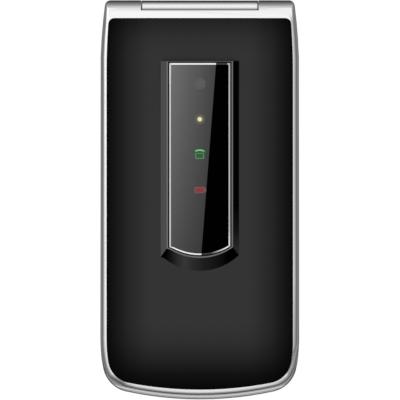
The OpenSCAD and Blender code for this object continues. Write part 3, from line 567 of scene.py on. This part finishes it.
def black_lacquer(colours):
    """Deep gloss black with a painted sheen, a little lighter in the middle of the cover than toward its
    edges.
    """
    finish = Finish("black_lacquer", colours.black, LACQUER_GRAIN, ior=1.07)
    x, y, _ = finish.parts()
    # Painted sheen, fading toward the cover's sides and ends.
    across = finish.span(finish.math("ABSOLUTE", x), 0.0, COVER_HIGH.x)
    sides = finish.greys(across, [(0.48, 1.0), (0.58, 0.93), (0.67, 0.72), (0.76, 0.57), (0.84, 0.35),
                                  (0.93, 0.18), (1.0, 0.07)])
    along = finish.span(y, COVER_LOW.y, COVER_HIGH.y)
    ends = finish.greys(along, [(0.0, 0.03), (0.043, 0.16), (0.086, 0.5), (0.13, 0.83), (0.18, 1.0),
                                (0.9, 1.0), (0.951, 0.83), (0.968, 0.66), (1.0, 0.42)])
    return finish.painted(finish.vector("MULTIPLY", finish.vector("MULTIPLY", sides, ends), colours.black))


def plinth_lacquer(colours):
    """The plinth: a painted sheen on the left bevel, softer painted sheens on part of the others, and a
    painted highlight on the rim.
    """
    finish = Finish("plinth_lacquer", colours.black, LACQUER_GRAIN, ior=1.04)
    facing_x, facing_y, facing_z = finish.parts("Normal")
    x, y, z = finish.parts()
    # Painted sheen on the right and lower bevels.
    right = finish.greys(finish.span(y, -1.5 * MM, TRIM_LOW.y), [(0.0, 0.0005), (0.5, 0.006), (1.0, 0.026)])
    along = finish.span(x, -TRIM_HIGH.x - 2 * MM, TRIM_HIGH.x + 2 * MM)
    lower = finish.greys(along, [(0.05, 0.0), (0.12, 0.006), (0.19, 0.018), (0.3, 0.036), (0.42, 0.022),
                                 (0.55, 0.012), (0.87, 0.0)])
    bevels = finish.mix(finish.span(facing_y, -0.03, -0.1),
                        finish.scaled(right, finish.span(facing_x, 0.1, 0.3)), lower)
    sided = finish.mix(finish.span(facing_x, -0.18, -0.29), bevels, (*colours.bevel, 1))
    # Painted highlight on the level rim.
    rim = finish.math("MULTIPLY", finish.span(facing_z, 0.985, 0.998),
                      finish.span(z, COVER_HIGH.z - 0.12 * MM, COVER_HIGH.z - 0.03 * MM))
    return finish.painted(finish.mix(rim, sided, (*colours.rim, 1)))


def window_painted_reflection(colours):
    """Smoked window with a painted reflection: pale, fading across and along the glass, ending along a slanted
    edge, and black beyond it.
    """
    finish = Finish("window_painted_reflection", colours.glass_reflection, (300.0, 0.04, 0.02, 0.0), ior=1.04)
    beyond, across = finish.group(GROUPS["glass_reflection"])
    # Painted reflection: pale, fading across the glass and along it.
    pale = finish.ramp(across, [(0.0, colours.glass_reflection), (0.27, shaded(colours.glass_reflection, 0.74)),
                                (0.75, shaded(colours.glass_reflection, 0.37))])
    along = finish.span(finish.parts()[1], GLASS_LOW.y, GLASS_HIGH.y, 0.6, 1.26)
    return finish.painted(finish.mix(beyond, finish.scaled(pale, along), (0.0, 0.0, 0.0, 1)))


def outline_metal(colours):
    """The window's bright outline, dimmed by the painted reflection beyond its edge, except along the right
    side and toward it.
    """
    finish = Finish("bright_outline", colours.outline, (1500.0, 0.16, 0.04, 0.0), metallic=1.0)
    beyond, across = finish.group(GROUPS["glass_reflection"])
    x, y, _ = finish.parts()
    lowered = finish.span(y, GLASS_LOW.y + 6 * MM, GLASS_LOW.y + 3 * MM)
    inner = finish.mix_numbers(lowered, finish.span(across, 1.01, 0.97), finish.span(across, 0.97, 0.7))
    # Painted shade: the outline's straight sides are darker.
    bars = finish.span(finish.math("ABSOLUTE", x), TRIM_HIGH.x - 0.65 * MM, TRIM_HIGH.x - 0.55 * MM)
    tone = finish.mix(bars, (*colours.outline, 1), (*shaded(colours.outline, 0.68), 1))
    return finish.painted(finish.mix(finish.math("MULTIPLY", beyond, inner), tone, (0.05, 0.05, 0.052, 1)))


def glowing(name, rgb):
    """A small light seen through the window."""
    finish = Finish(name, rgb, LIGHT_GRAIN, ior=1.1)
    finish.shader["Emission Color"].default_value = (*rgb, 1)
    finish.shader["Emission Strength"].default_value = 0.1
    return finish.material


def lamp_glow(colours):
    """The lamp: a cream core that fades into an olive halo, by the distance from its middle."""
    finish = Finish("lamp_cream", colours.lamp, LIGHT_GRAIN)
    reach = finish.reach((*middle_of(*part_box("flash_led")), 0))
    return finish.painted(finish.ramp(finish.span(reach, 0.0, LAMP_REACH), [
        (0.0, colours.lamp), (0.27, colours.lamp), (0.57, LAMP_HALO), (0.8, LAMP_HALO),
        (1.0, (0.07, 0.07, 0.068))]))


def display_glass():
    """The main screen, dark when it is off, a little bluer where the picture area lies."""
    finish = Finish("display_glass", (0.01, 0.011, 0.014), (300.0, 0.05, 0.02, 0.0), coat=1.0)
    middle = (SCREEN_LOW + SCREEN_HIGH) / 2
    half = (SCREEN_HIGH - SCREEN_LOW) / 2
    fitted = finish.add("Mapping", finish.spot(), (middle.x, middle.y, 0), None, (half.x, half.y, 1))
    fitted.vector_type = "TEXTURE"
    x, y, _ = finish.split(fitted.outputs["Vector"])
    widest = finish.math("MAXIMUM", finish.math("ABSOLUTE", x), finish.math("ABSOLUTE", y))
    return finish.painted(finish.ramp(widest, [
        (0.0, (0.022, 0.025, 0.032)), (0.84, (0.02, 0.023, 0.03)), (0.85, (0.006, 0.006, 0.007))]))


FINISHES = {}


def make_finishes(colours):
    """Every finish of the phone, by name."""
    GROUPS.update({"grain": grain_group(), "slope": slope_group(), "glass_reflection": reflection_edge_group()})
    FINISHES.update({
        "silver": plated_silver(colours),
        "barrel": plated_barrel(colours),
        "front": plated_deck(colours),
        "black": black_lacquer(colours),
        "plinth": plinth_lacquer(colours),
        "glass_reflection": window_painted_reflection(colours),
        "trim": outline_metal(colours),
        "screen": display_glass(),
        "cover_back": plain("back_cover_satin", (0.42, 0.42, 0.44), 0.45, 0.35, scale=1400.0, bump=0.5),
        "inner": plain("inner_cover_satin", (0.52, 0.52, 0.54), 0.38, 0.3, scale=1400.0, bump=0.35),
        "key": plain("key_satin", colours.keys, 0.35, 0.1, coat=0.2),
        "green_key": plain("call_key_green", (0.05, 0.33, 0.09), 0.35, coat=0.3),
        "red_key": plain("end_key_red", (0.5, 0.035, 0.03), 0.35, coat=0.3),
        "ink": plain("printed_ink", colours.ink, 0.5, bump=0.0),
        "pale_ink": plain("pale_printed_ink", (0.85, 0.85, 0.86), 0.5, bump=0.0),
        "call": glowing("call_light_green", colours.call),
        "call_rim": glowing("call_light_pale", (0.12, 0.2, 0.13)),
        "call_block": glowing("call_light_dark", (0.026, 0.1, 0.034)),
        "battery_rim": glowing("battery_light_pale", (0.16, 0.075, 0.076)),
        "battery": glowing("battery_light_red", colours.battery),
        "lamp": lamp_glow(colours),
        "points": plain("camera_points_grey", (0.055, 0.055, 0.058), 0.5, bump=0.0),
        "disc": plain("camera_disc_grey", (0.073, 0.073, 0.076), 0.5, bump=0.0),
        "rubber": plain("pad_rubber", (0.03, 0.03, 0.03), 0.8, bump=0.6),
        "board": plain("board_green", (0.015, 0.12, 0.045), 0.35, coat=0.4, scale=500.0),
        "steel": plain("sheet_steel", (0.55, 0.55, 0.56), 0.3, 1.0, scale=700.0),
        "gold": plain("gold_plating", (0.83, 0.6, 0.24), 0.25, 1.0),
        "cell": plain("battery_wrap", (0.09, 0.09, 0.1), 0.45),
        "matt_black": plain("moulded_black", (0.02, 0.02, 0.021), 0.5, bump=0.4),
        "panel": plain("display_back", (0.2, 0.21, 0.23), 0.3, 0.6),
    })


# ---- Operators ----

class FLIPPHONE_OT_finishes(bpy.types.Operator):
    """Makes the finishes and smooths and colours every carried-over node"""

    bl_idname = "flip_phone.finishes"
    bl_label = "Finishes"

    node_finish = {
        "silver": ("rear_case", "lid_frame", "volume_rocker", "side_key"),
        "barrel": ("hinge_barrel",),
        "front": ("front_frame",),
        "cover_back": ("battery_cover",),
        "inner": ("lid_inner_cover",),
        "rubber": ("rest_pads",),
        "board": ("main_board", "lid_board"),
        "steel": ("shield_can", "key_domes", "card_holder", "microphone", "vibration_motor",
                  "vibration_weight", "usb_socket", "base_screws", "lid_magnet", "lid_screws",
                  "cam_housing", "hinge_spring", "hinge_shaft", "hinge_pin"),
        "gold": ("battery_contacts", "charging_contacts", "antenna"),
        "cell": ("battery",),
        "matt_black": ("loudspeaker", "audio_jack", "earpiece", "camera_module"),
        "panel": ("display_module",),
    }

    def smoothing(self):
        """Node tree that merges a node's triangles and shades them smooth up to an angle."""
        group = bpy.data.node_groups.new("smooth_by_angle", "GeometryNodeTree")
        for direction in ("INPUT", "OUTPUT"):
            group.interface.new_socket(name="Geometry", in_out=direction, socket_type="NodeSocketGeometry")
        start, merge, angle, soft, faces, edges, end = (group.nodes.new(kind) for kind in (
            "NodeGroupInput", "GeometryNodeMergeByDistance", "GeometryNodeInputMeshEdgeAngle",
            "FunctionNodeCompare", "GeometryNodeSetShadeSmooth", "GeometryNodeSetShadeSmooth",
            "NodeGroupOutput"))
        soft.operation = "LESS_THAN"
        faces.domain, edges.domain = "FACE", "EDGE"
        wiring = Wiring(group)
        wiring.feed(merge, start.outputs[0], None, MERGE_DISTANCE)
        wiring.feed(soft, angle.outputs["Unsigned Angle"], math.radians(SMOOTH_BELOW))
        wiring.feed(faces, merge.outputs[0])
        wiring.feed(edges, faces.outputs[0], None, soft.outputs[0])
        wiring.feed(end, edges.outputs[0])
        return group

    def execute(self, context):
        make_finishes(context.scene.flip_phone_colours)
        tree = self.smoothing()
        for finish, names in self.node_finish.items():
            for name in names:
                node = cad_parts[name]
                node.data.materials.clear()
                node.data.materials.append(FINISHES[finish])
                node.modifiers.new("Smooth by angle", "NODES").node_group = tree
        return {"FINISHED"}


class FLIPPHONE_OT_cover(bpy.types.Operator):
    """Models the black lid cover: a crowned plate and the plinth that carries the window"""

    bl_idname = "flip_phone.cover"
    bl_label = "Lid cover"

    def crowned_plate(self, lid):
        """The plate, rounded at its edge, crowned over its whole face, and clear of the barrel below it."""
        bm = bmesh.new()
        top = rounded_plate(bm, cover_outline(lid), BARREL_HIGH.z + BARREL_GAP, PLATE_TOP, lid.edge)
        middle = Vector((*middle_of(COVER_LOW, COVER_HIGH), 0))
        share, height = 1.0, 0.0
        for wanted in CROWN_SHARES:
            rise = lid.crown * (1 - wanted ** 2)
            shrink_in(bm, top, wanted / share, rise - height, middle)
            share, height = wanted, rise
        return new_piece("lid_cover_plate", bm)

    def plinth(self, lid):
        """The raised plinth, bevelled at its sides and lower end, hollow where the window lies."""
        bm = bmesh.new()
        half, lower = TRIM_HIGH.x + lid.plinth_rim, TRIM_LOW.y - lid.plinth_rim
        upper_rim, upper_bevel, foot = 0.45 * MM, 0.1 * MM, 0.2 * MM
        upper = TRIM_HIGH.y + upper_rim
        gap, radius = lid.pocket, lid.window_radius
        base = window_outline(half + lid.side_bevel, upper + upper_bevel, lower - lid.end_bevel, radius)
        rim = window_outline(half, upper, lower, radius)
        pocket = window_outline(TRIM_HIGH.x + gap, TRIM_HIGH.y + gap, TRIM_LOW.y - gap, radius)
        crown_top = PLATE_TOP + lid.crown
        levels = [(base, GLASS_LOW.z - foot), (base, crown_top), (rim, COVER_HIGH.z),
                  (pocket, COVER_HIGH.z), (pocket, GLASS_LOW.z)]
        face = outline_face(bm, *levels[0])
        for (points, z), (before, _) in zip(levels[1:], levels):
            face = push_face(bm, face)
            places = {(round(a.x, 6), round(a.y, 6)): b for a, b in zip(before, points)}
            for vert in face.verts:
                point = places[(round(vert.co.x, 6), round(vert.co.y, 6))]
                vert.co = (point.x, point.y, z)
        return new_piece("lid_cover_plinth", bm, 8)

    def execute(self, context):
        lid = context.scene.flip_phone_lid
        finish_piece(self.crowned_plate(lid), "lid", "black", "black_gloss", "lid_cover")
        finish_piece(self.plinth(lid), "lid", "plinth", "black_gloss")
        return {"FINISHED"}


class FLIPPHONE_OT_window(bpy.types.Operator):
    """Models the smoked window and its bright outline"""

    bl_idname = "flip_phone.window"
    bl_label = "Window"

    def glass(self, lid):
        """The glass, slightly rounded at its edge."""
        bm = bmesh.new()
        points = window_outline(GLASS_HIGH.x, GLASS_HIGH.y, GLASS_LOW.y, lid.window_radius)
        rounded_plate(bm, points, GLASS_LOW.z, GLASS_HIGH.z, GLASS_EDGE)
        return new_piece("window_pane", bm)

    def outline(self, lid):
        """The bright outline, rounded over its width."""
        bm = bmesh.new()
        outer = window_outline(TRIM_HIGH.x, TRIM_HIGH.y, TRIM_LOW.y, lid.window_radius)
        inner = window_outline(TRIM_HIGH.x - lid.trim, TRIM_HIGH.y - lid.trim, TRIM_LOW.y + lid.trim,
                               lid.window_radius)
        depth = TRIM_HIGH.z - TRIM_LOW.z
        round_over = 0.12 * MM
        levels = [(0, 0), (0, depth - round_over), (0.12, depth - 0.3 * round_over), (0.3, depth),
                  (0.7, depth), (0.88, depth - 0.3 * round_over), (1, depth - round_over), (1, 0)]
        loops = []
        for share, height in levels:
            z = TRIM_LOW.z + height
            loops.append([bm.verts.new((a.x + (b.x - a.x) * share, a.y + (b.y - a.y) * share, z))
                          for a, b in zip(outer, inner)])
        edges = [[bm.edges.new((loop[i - 1], loop[i])) for i in range(len(loop))] for loop in loops]
        for first, second in zip(edges, edges[1:] + edges[:1]):
            bmesh.ops.bridge_loops(bm, edges=first + second)
        return new_piece("window_outline", bm)

    def execute(self, context):
        lid = context.scene.flip_phone_lid
        finish_piece(self.glass(lid), "lid", "glass_reflection", "smoked_glass", "window_glass")
        finish_piece(self.outline(lid), "lid", "trim", "bright_trim", "window_trim")
        return {"FINISHED"}


class FLIPPHONE_OT_lights(bpy.types.Operator):
    """Models the camera's disc and points, the lamp, and the call and battery lights"""

    bl_idname = "flip_phone.lights"
    bl_label = "Lights"

    # Each block's name, two corners from its light's middle in millimetres, radius, layers and finish.
    call_blocks = (("call_light_shade", (-1.95, 0.38), (1.95, 1.12), 0.36, 1, "call_block"),
                   ("call_light_rim", (-1.25, -1.23), (1.2, 0.47), 0.35, 1, "call_rim"),
                   ("call_light_block", (-0.98, -0.96), (0.93, 0.2), 0.2, 2, "call_block"))
    battery_blocks = (("battery_light_terminal", (1.2, -0.5), (1.75, 0.5), 0.2, 1, "battery_rim"),
                      ("battery_light_rim", (-1.55, -0.9), (1.4, 0.9), 0.4, 2, "battery_rim"),
                      ("battery_light_cell", (-1.15, -0.55), (1.0, 0.55), 0.2, 3, "battery"))
    stands_for = {"battery_light_rim": ("battery_icon",)}

    def inlay(self, name, layers, *outlines):
        """Thin inlays on the glass, one or more layers high."""
        bm = bmesh.new()
        for points in outlines:
            prism(bm, points, GLASS_HIGH.z, INLAY * layers)
        return new_piece(name, bm)

    def handset(self, place):
        """The receiver of the call light: a flat arc with its ends turned down."""
        x, y = place
        over = arc((x, y - 1.34 * MM), 2.7 * MM, 60, 120, 16)
        under = arc((x, y - 1.84 * MM), 2.8 * MM, 117, 63, 12)
        return self.inlay("call_light_handset", 2, over + under)

    def camera_dots(self, place):
        """Six faint points round the camera."""
        x, y = place
        turns = [math.radians(60 * i) for i in range(6)]
        middles = [(x + CAMERA_RING * math.cos(t), y + CAMERA_RING * math.sin(t)) for t in turns]
        return self.inlay("camera_points", 2, *(circle_points(m, CAMERA_POINT, 16) for m in middles))

    def execute(self, context):
        call, cell, lens, led = (
            middle_of(*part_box(node)) for node in ("call_icon", "battery_icon", "camera_module", "flash_led"))
        finish_piece(self.handset(call), "lid", "call", "green_light", "call_icon")
        for place, slot, blocks in ((call, "green_light", self.call_blocks),
                                    (cell, "red_light", self.battery_blocks)):
            for name, low, high, radius, layers, finish in blocks:
                corners = [(place[0] + x * MM, place[1] + y * MM) for x, y in (low, high)]
                block = self.inlay(name, layers, rounded_rectangle(*corners, radius * MM, 3))
                finish_piece(block, "lid", finish, slot, *self.stands_for.get(name, ()))
        lamp = self.inlay("lamp_dot", 1, circle_points(led, LAMP_REACH))
        finish_piece(lamp, "lid", "lamp", "led_lens", "flash_led")
        finish_piece(self.camera_dots(lens), "lid", "points", "black_gloss")
        disc = self.inlay("camera_disc", 1, circle_points(lens, CAMERA_DISC))
        finish_piece(disc, "lid", "disc", "black_gloss")
        return {"FINISHED"}


class FLIPPHONE_OT_keys(bpy.types.Operator):
    """Models the key caps with rounded edges and prints their figures"""

    bl_idname = "flip_phone.keys"
    bl_label = "Keys"

    coloured = {"call_key": "green_key", "end_key": "red_key"}

    def cap(self, name, keys):
        """A key cap that fills its node's place, its flange included."""
        low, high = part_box(name)
        flange_width, flange_height, overlap = 0.45 * MM, 0.35 * MM, 0.05 * MM
        bm = bmesh.new()
        flange = rounded_rectangle(low, high, keys.corner + 0.2 * MM)
        prism(bm, flange, low.z, flange_height)
        body = rounded_rectangle(low, high, keys.corner, inset=flange_width)
        top = rounded_plate(bm, body, low.z + flange_height - overlap, high.z, keys.edge)
        middle = Vector((*middle_of(low, high), 0))
        for share, rise in KEY_DISH:
            shrink_in(bm, top, share, rise * MM, middle)
        return new_piece(name + "_cap", bm), Vector((middle.x, middle.y, high.z))

    def ring(self, keys):
        """The navigation rocker: a ring with rounded edges."""
        low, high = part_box("nav_rocker")
        inner = (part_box("ok_key")[1].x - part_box("ok_key")[0].x) / 2 + 0.25 * MM
        outer = (high.x - low.x) / 2
        edge, hollow, inner_drop = keys.edge, 0.1 * MM, 0.05 * MM
        bm = bmesh.new()
        profile = [(inner, low.z), (outer, low.z), (outer, high.z - edge),
                   (outer - 0.3 * edge, high.z - 0.3 * edge), (outer - edge, high.z),
                   ((inner + outer) / 2, high.z - hollow), (inner + edge, high.z - inner_drop),
                   (inner, high.z - inner_drop - edge)]
        centre = Vector((*middle_of(low, high), 0))
        verts = [bm.verts.new((centre.x + r, centre.y, z)) for r, z in profile]
        edges = [bm.edges.new((verts[i - 1], verts[i])) for i in range(len(verts))]
        bmesh.ops.spin(bm, geom=verts + edges, cent=centre, axis=(0, 0, 1), angle=math.tau, steps=96,
                       use_merge=True)
        bmesh.ops.remove_doubles(bm, verts=bm.verts, dist=0.001 * MM)
        return new_piece("nav_ring", bm), centre, (inner + outer) / 2, high.z

    def middle_key(self, keys):
        """The round key in the middle of the rocker."""
        low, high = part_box("ok_key")
        bm = bmesh.new()
        points = circle_points(middle_of(low, high), (high.x - low.x) / 2, 64)
        rounded_plate(bm, points, low.z, high.z, keys.edge)
        return new_piece("ok_key_cap", bm)

    def mark(self, name, points, centre, turn, z, ink):
        """A flat mark on a key, turned and set in its place."""
        bm = bmesh.new()
        prism(bm, points, z, ink)
        spin = Matrix.Rotation(turn, 4, "Z")
        place = Matrix.Translation((centre[0], centre[1], 0))
        bmesh.ops.transform(bm, matrix=place @ spin, verts=bm.verts)
        return new_piece(name, bm)

    def marked_key(self, name, keys):
        """A key with its figure, dash or handset."""
        cap, centre = self.cap(name, keys)
        slot = self.coloured.get(name, "key_plastic")
        finish_piece(cap, name, self.coloured.get(name, "key"), slot, name)
        if name in NUMBER_KEYS:
            place = (centre.x, centre.y, centre.z - FIGURE_DROP)
            figure = figure_mesh(name + "_figure", NUMBER_KEYS[name], place, keys.figure, keys.ink)
            finish_piece(figure, name, "ink", "black_plastic")
        elif name in self.coloured:
            size = 0.42 * keys.figure
            handset = (arc((0, -0.5 * size), 1.15 * size, 25, 155, 16)
                       + arc((0, -0.75 * size), 0.95 * size, 150, 30, 16))
            turn = math.radians(40 if name == "call_key" else 0)
            mark = self.mark(name + "_mark", handset, centre, turn, centre.z - MARK_DROP, keys.ink)
            finish_piece(mark, name, "pale_ink", "key_plastic")
        else:
            half, thick = 1.6 * MM, 0.25 * MM
            dash = rounded_rectangle((-half, -thick), (half, thick), 0.2 * MM, 3)
            mark = self.mark(name + "_dash", dash, centre, 0, centre.z - MARK_DROP, keys.ink)
            finish_piece(mark, name, "ink", "black_plastic")

    def execute(self, context):
        keys = context.scene.flip_phone_keys
        for name in [*NUMBER_KEYS, *self.coloured, "soft_key_left", "soft_key_right"]:
            self.marked_key(name, keys)
        ring, centre, reach, top = self.ring(keys)
        finish_piece(ring, "nav_rocker", "silver", "silver_shell", "nav_rocker")
        size = 0.7 * MM
        arrowhead = [(0, size), (-size, -0.4 * size), (0, 0), (size, -0.4 * size)]
        for i, word in enumerate(("up", "left", "down", "right")):
            turn = math.pi / 2 * i
            place = (centre.x - reach * math.sin(turn), centre.y + reach * math.cos(turn))
            arrow = self.mark("nav_arrow_" + word, arrowhead, place, turn, top - ARROW_DROP, keys.ink)
            finish_piece(arrow, "nav_rocker", "ink", "black_plastic")
        finish_piece(self.middle_key(keys), "ok_key", "key", "key_plastic", "ok_key")
        return {"FINISHED"}


class FLIPPHONE_OT_screen(bpy.types.Operator):
    """Models the main screen's lens"""

    bl_idname = "flip_phone.screen"
    bl_label = "Screen"

    def execute(self, context):
        bm = bmesh.new()
        points = rounded_rectangle(SCREEN_LOW, SCREEN_HIGH, SCREEN_CORNER)
        # The lens faces down while the lid is closed, so it is made upside down and then turned over.
        rounded_plate(bm, points, -SCREEN_HIGH.z, -SCREEN_LOW.z, SCREEN_EDGE)
        bmesh.ops.scale(bm, vec=(1, 1, -1), verts=bm.verts)
        finish_piece(new_piece("screen_lens", bm), "lid", "screen", "clear_lens", "display_lens")
        return {"FINISHED"}


class FLIPPHONE_OT_stage(bpy.types.Operator):
    """Sets the floor, the soft lights, the sky and the camera"""

    bl_idname = "flip_phone.stage"
    bl_label = "Stage"

    def floor(self):
        """A pale floor that keeps the phone's shadow."""
        bm = bmesh.new()
        bmesh.ops.create_grid(bm, x_segments=1, y_segments=1, size=FLOOR_HALF)
        bmesh.ops.translate(bm, vec=(0, 0, -FLOOR_DROP), verts=bm.verts)
        floor = new_piece("floor", bm)
        material = bpy.data.materials.new("floor_white")
        material.use_nodes = True
        wiring = Wiring(material.node_tree)
        shader = wiring.feed(wiring.nodes["Principled BSDF"], (0.8, 0.8, 0.8, 1), None, 0.9)
        glow = wiring.add("Emission", (1, 1, 1, 1), 1.2)
        share = wiring.math("MULTIPLY", wiring.add("LightPath").outputs["Is Camera Ray"], 0.72)
        both = wiring.add("MixShader", share, shader.outputs[0], glow.outputs[0])
        wiring.links.new(both.outputs[0], wiring.nodes["Material Output"].inputs["Surface"])
        floor.data.materials.append(material)

    def light(self, name, place, size, power):
        """A soft square light that faces the phone."""
        data = bpy.data.lights.new(name, "AREA")
        data.size = size
        data.energy = power
        lamp = linked(name, data)
        lamp.location = place
        lamp.rotation_euler = (-Vector(place)).to_track_quat("-Z", "Y").to_euler()

    def sky(self):
        """An even pale sky, brightest overhead."""
        world = bpy.data.worlds.new("pale_sky")
        bpy.context.scene.world = world
        world.use_nodes = True
        wiring = Wiring(world.node_tree)
        tone = wiring.greys(wiring.parts("Generated")[2], [(0.0, 0.88), (1.0, 1.0)])
        wiring.feed(wiring.nodes["Background"], tone, 1.0)

    def camera(self):
        """A long lens straight above the closed phone."""
        data = bpy.data.cameras.new("camera")
        data.lens = 1000.0
        data.sensor_width = 36.0
        data.clip_end = 30.0
        away = VIEW_WIDTH * data.lens / data.sensor_width
        camera = linked("camera", data)
        camera.location = (0.06 * MM, 0.0, GLASS_HIGH.z * 0.6 + away)
        bpy.context.scene.camera = camera

    def execute(self, context):
        context.scene.view_settings.view_transform = "Standard"
        self.floor()
        self.sky()
        self.light("left_soft", (-1.1, 0.5, 1.1), 0.9, 2.5)
        self.light("right_soft", (1.0, -0.6, 1.3), 0.7, 1.2)
        self.camera()
        return {"FINISHED"}


class FLIPPHONE_PT_panel(bpy.types.Panel):
    """Lists the phone's steps and sizes"""

    bl_idname = "FLIPPHONE_PT_panel"
    bl_label = "Flip Phone"
    bl_space_type = "VIEW_3D"
    bl_region_type = "UI"
    bl_category = "Flip Phone"

    def draw(self, context):
        layout = self.layout
        for operator in OPERATORS:
            layout.operator(operator.bl_idname)
        scene = context.scene
        for group in (scene.flip_phone_lid, scene.flip_phone_keys, scene.flip_phone_colours):
            box = layout.box()
            for name in group.__annotations__:
                box.prop(group, name)


OPERATORS = (FLIPPHONE_OT_finishes, FLIPPHONE_OT_cover, FLIPPHONE_OT_window, FLIPPHONE_OT_lights,
             FLIPPHONE_OT_keys, FLIPPHONE_OT_screen, FLIPPHONE_OT_stage)
CLASSES = (FlipPhoneLid, FlipPhoneKeys, FlipPhoneColours) + OPERATORS + (FLIPPHONE_PT_panel,)


def register():
    """Registers the classes and their settings."""
    for item in CLASSES:
        bpy.utils.register_class(item)
    bpy.types.Scene.flip_phone_lid = bpy.props.PointerProperty(type=FlipPhoneLid)
    bpy.types.Scene.flip_phone_keys = bpy.props.PointerProperty(type=FlipPhoneKeys)
    bpy.types.Scene.flip_phone_colours = bpy.props.PointerProperty(type=FlipPhoneColours)


def unregister():
    """Takes the settings and classes away again."""
    del bpy.types.Scene.flip_phone_colours
    del bpy.types.Scene.flip_phone_keys
    del bpy.types.Scene.flip_phone_lid
    for item in reversed(CLASSES):
        bpy.utils.unregister_class(item)


def main():
    """Builds the dressed phone."""
    register()
    bpy.ops.flip_phone.finishes()
    bpy.ops.flip_phone.cover()
    bpy.ops.flip_phone.window()
    bpy.ops.flip_phone.lights()
    bpy.ops.flip_phone.keys()
    bpy.ops.flip_phone.screen()
    bpy.ops.flip_phone.stage()


if __name__ == "__main__":
    main()
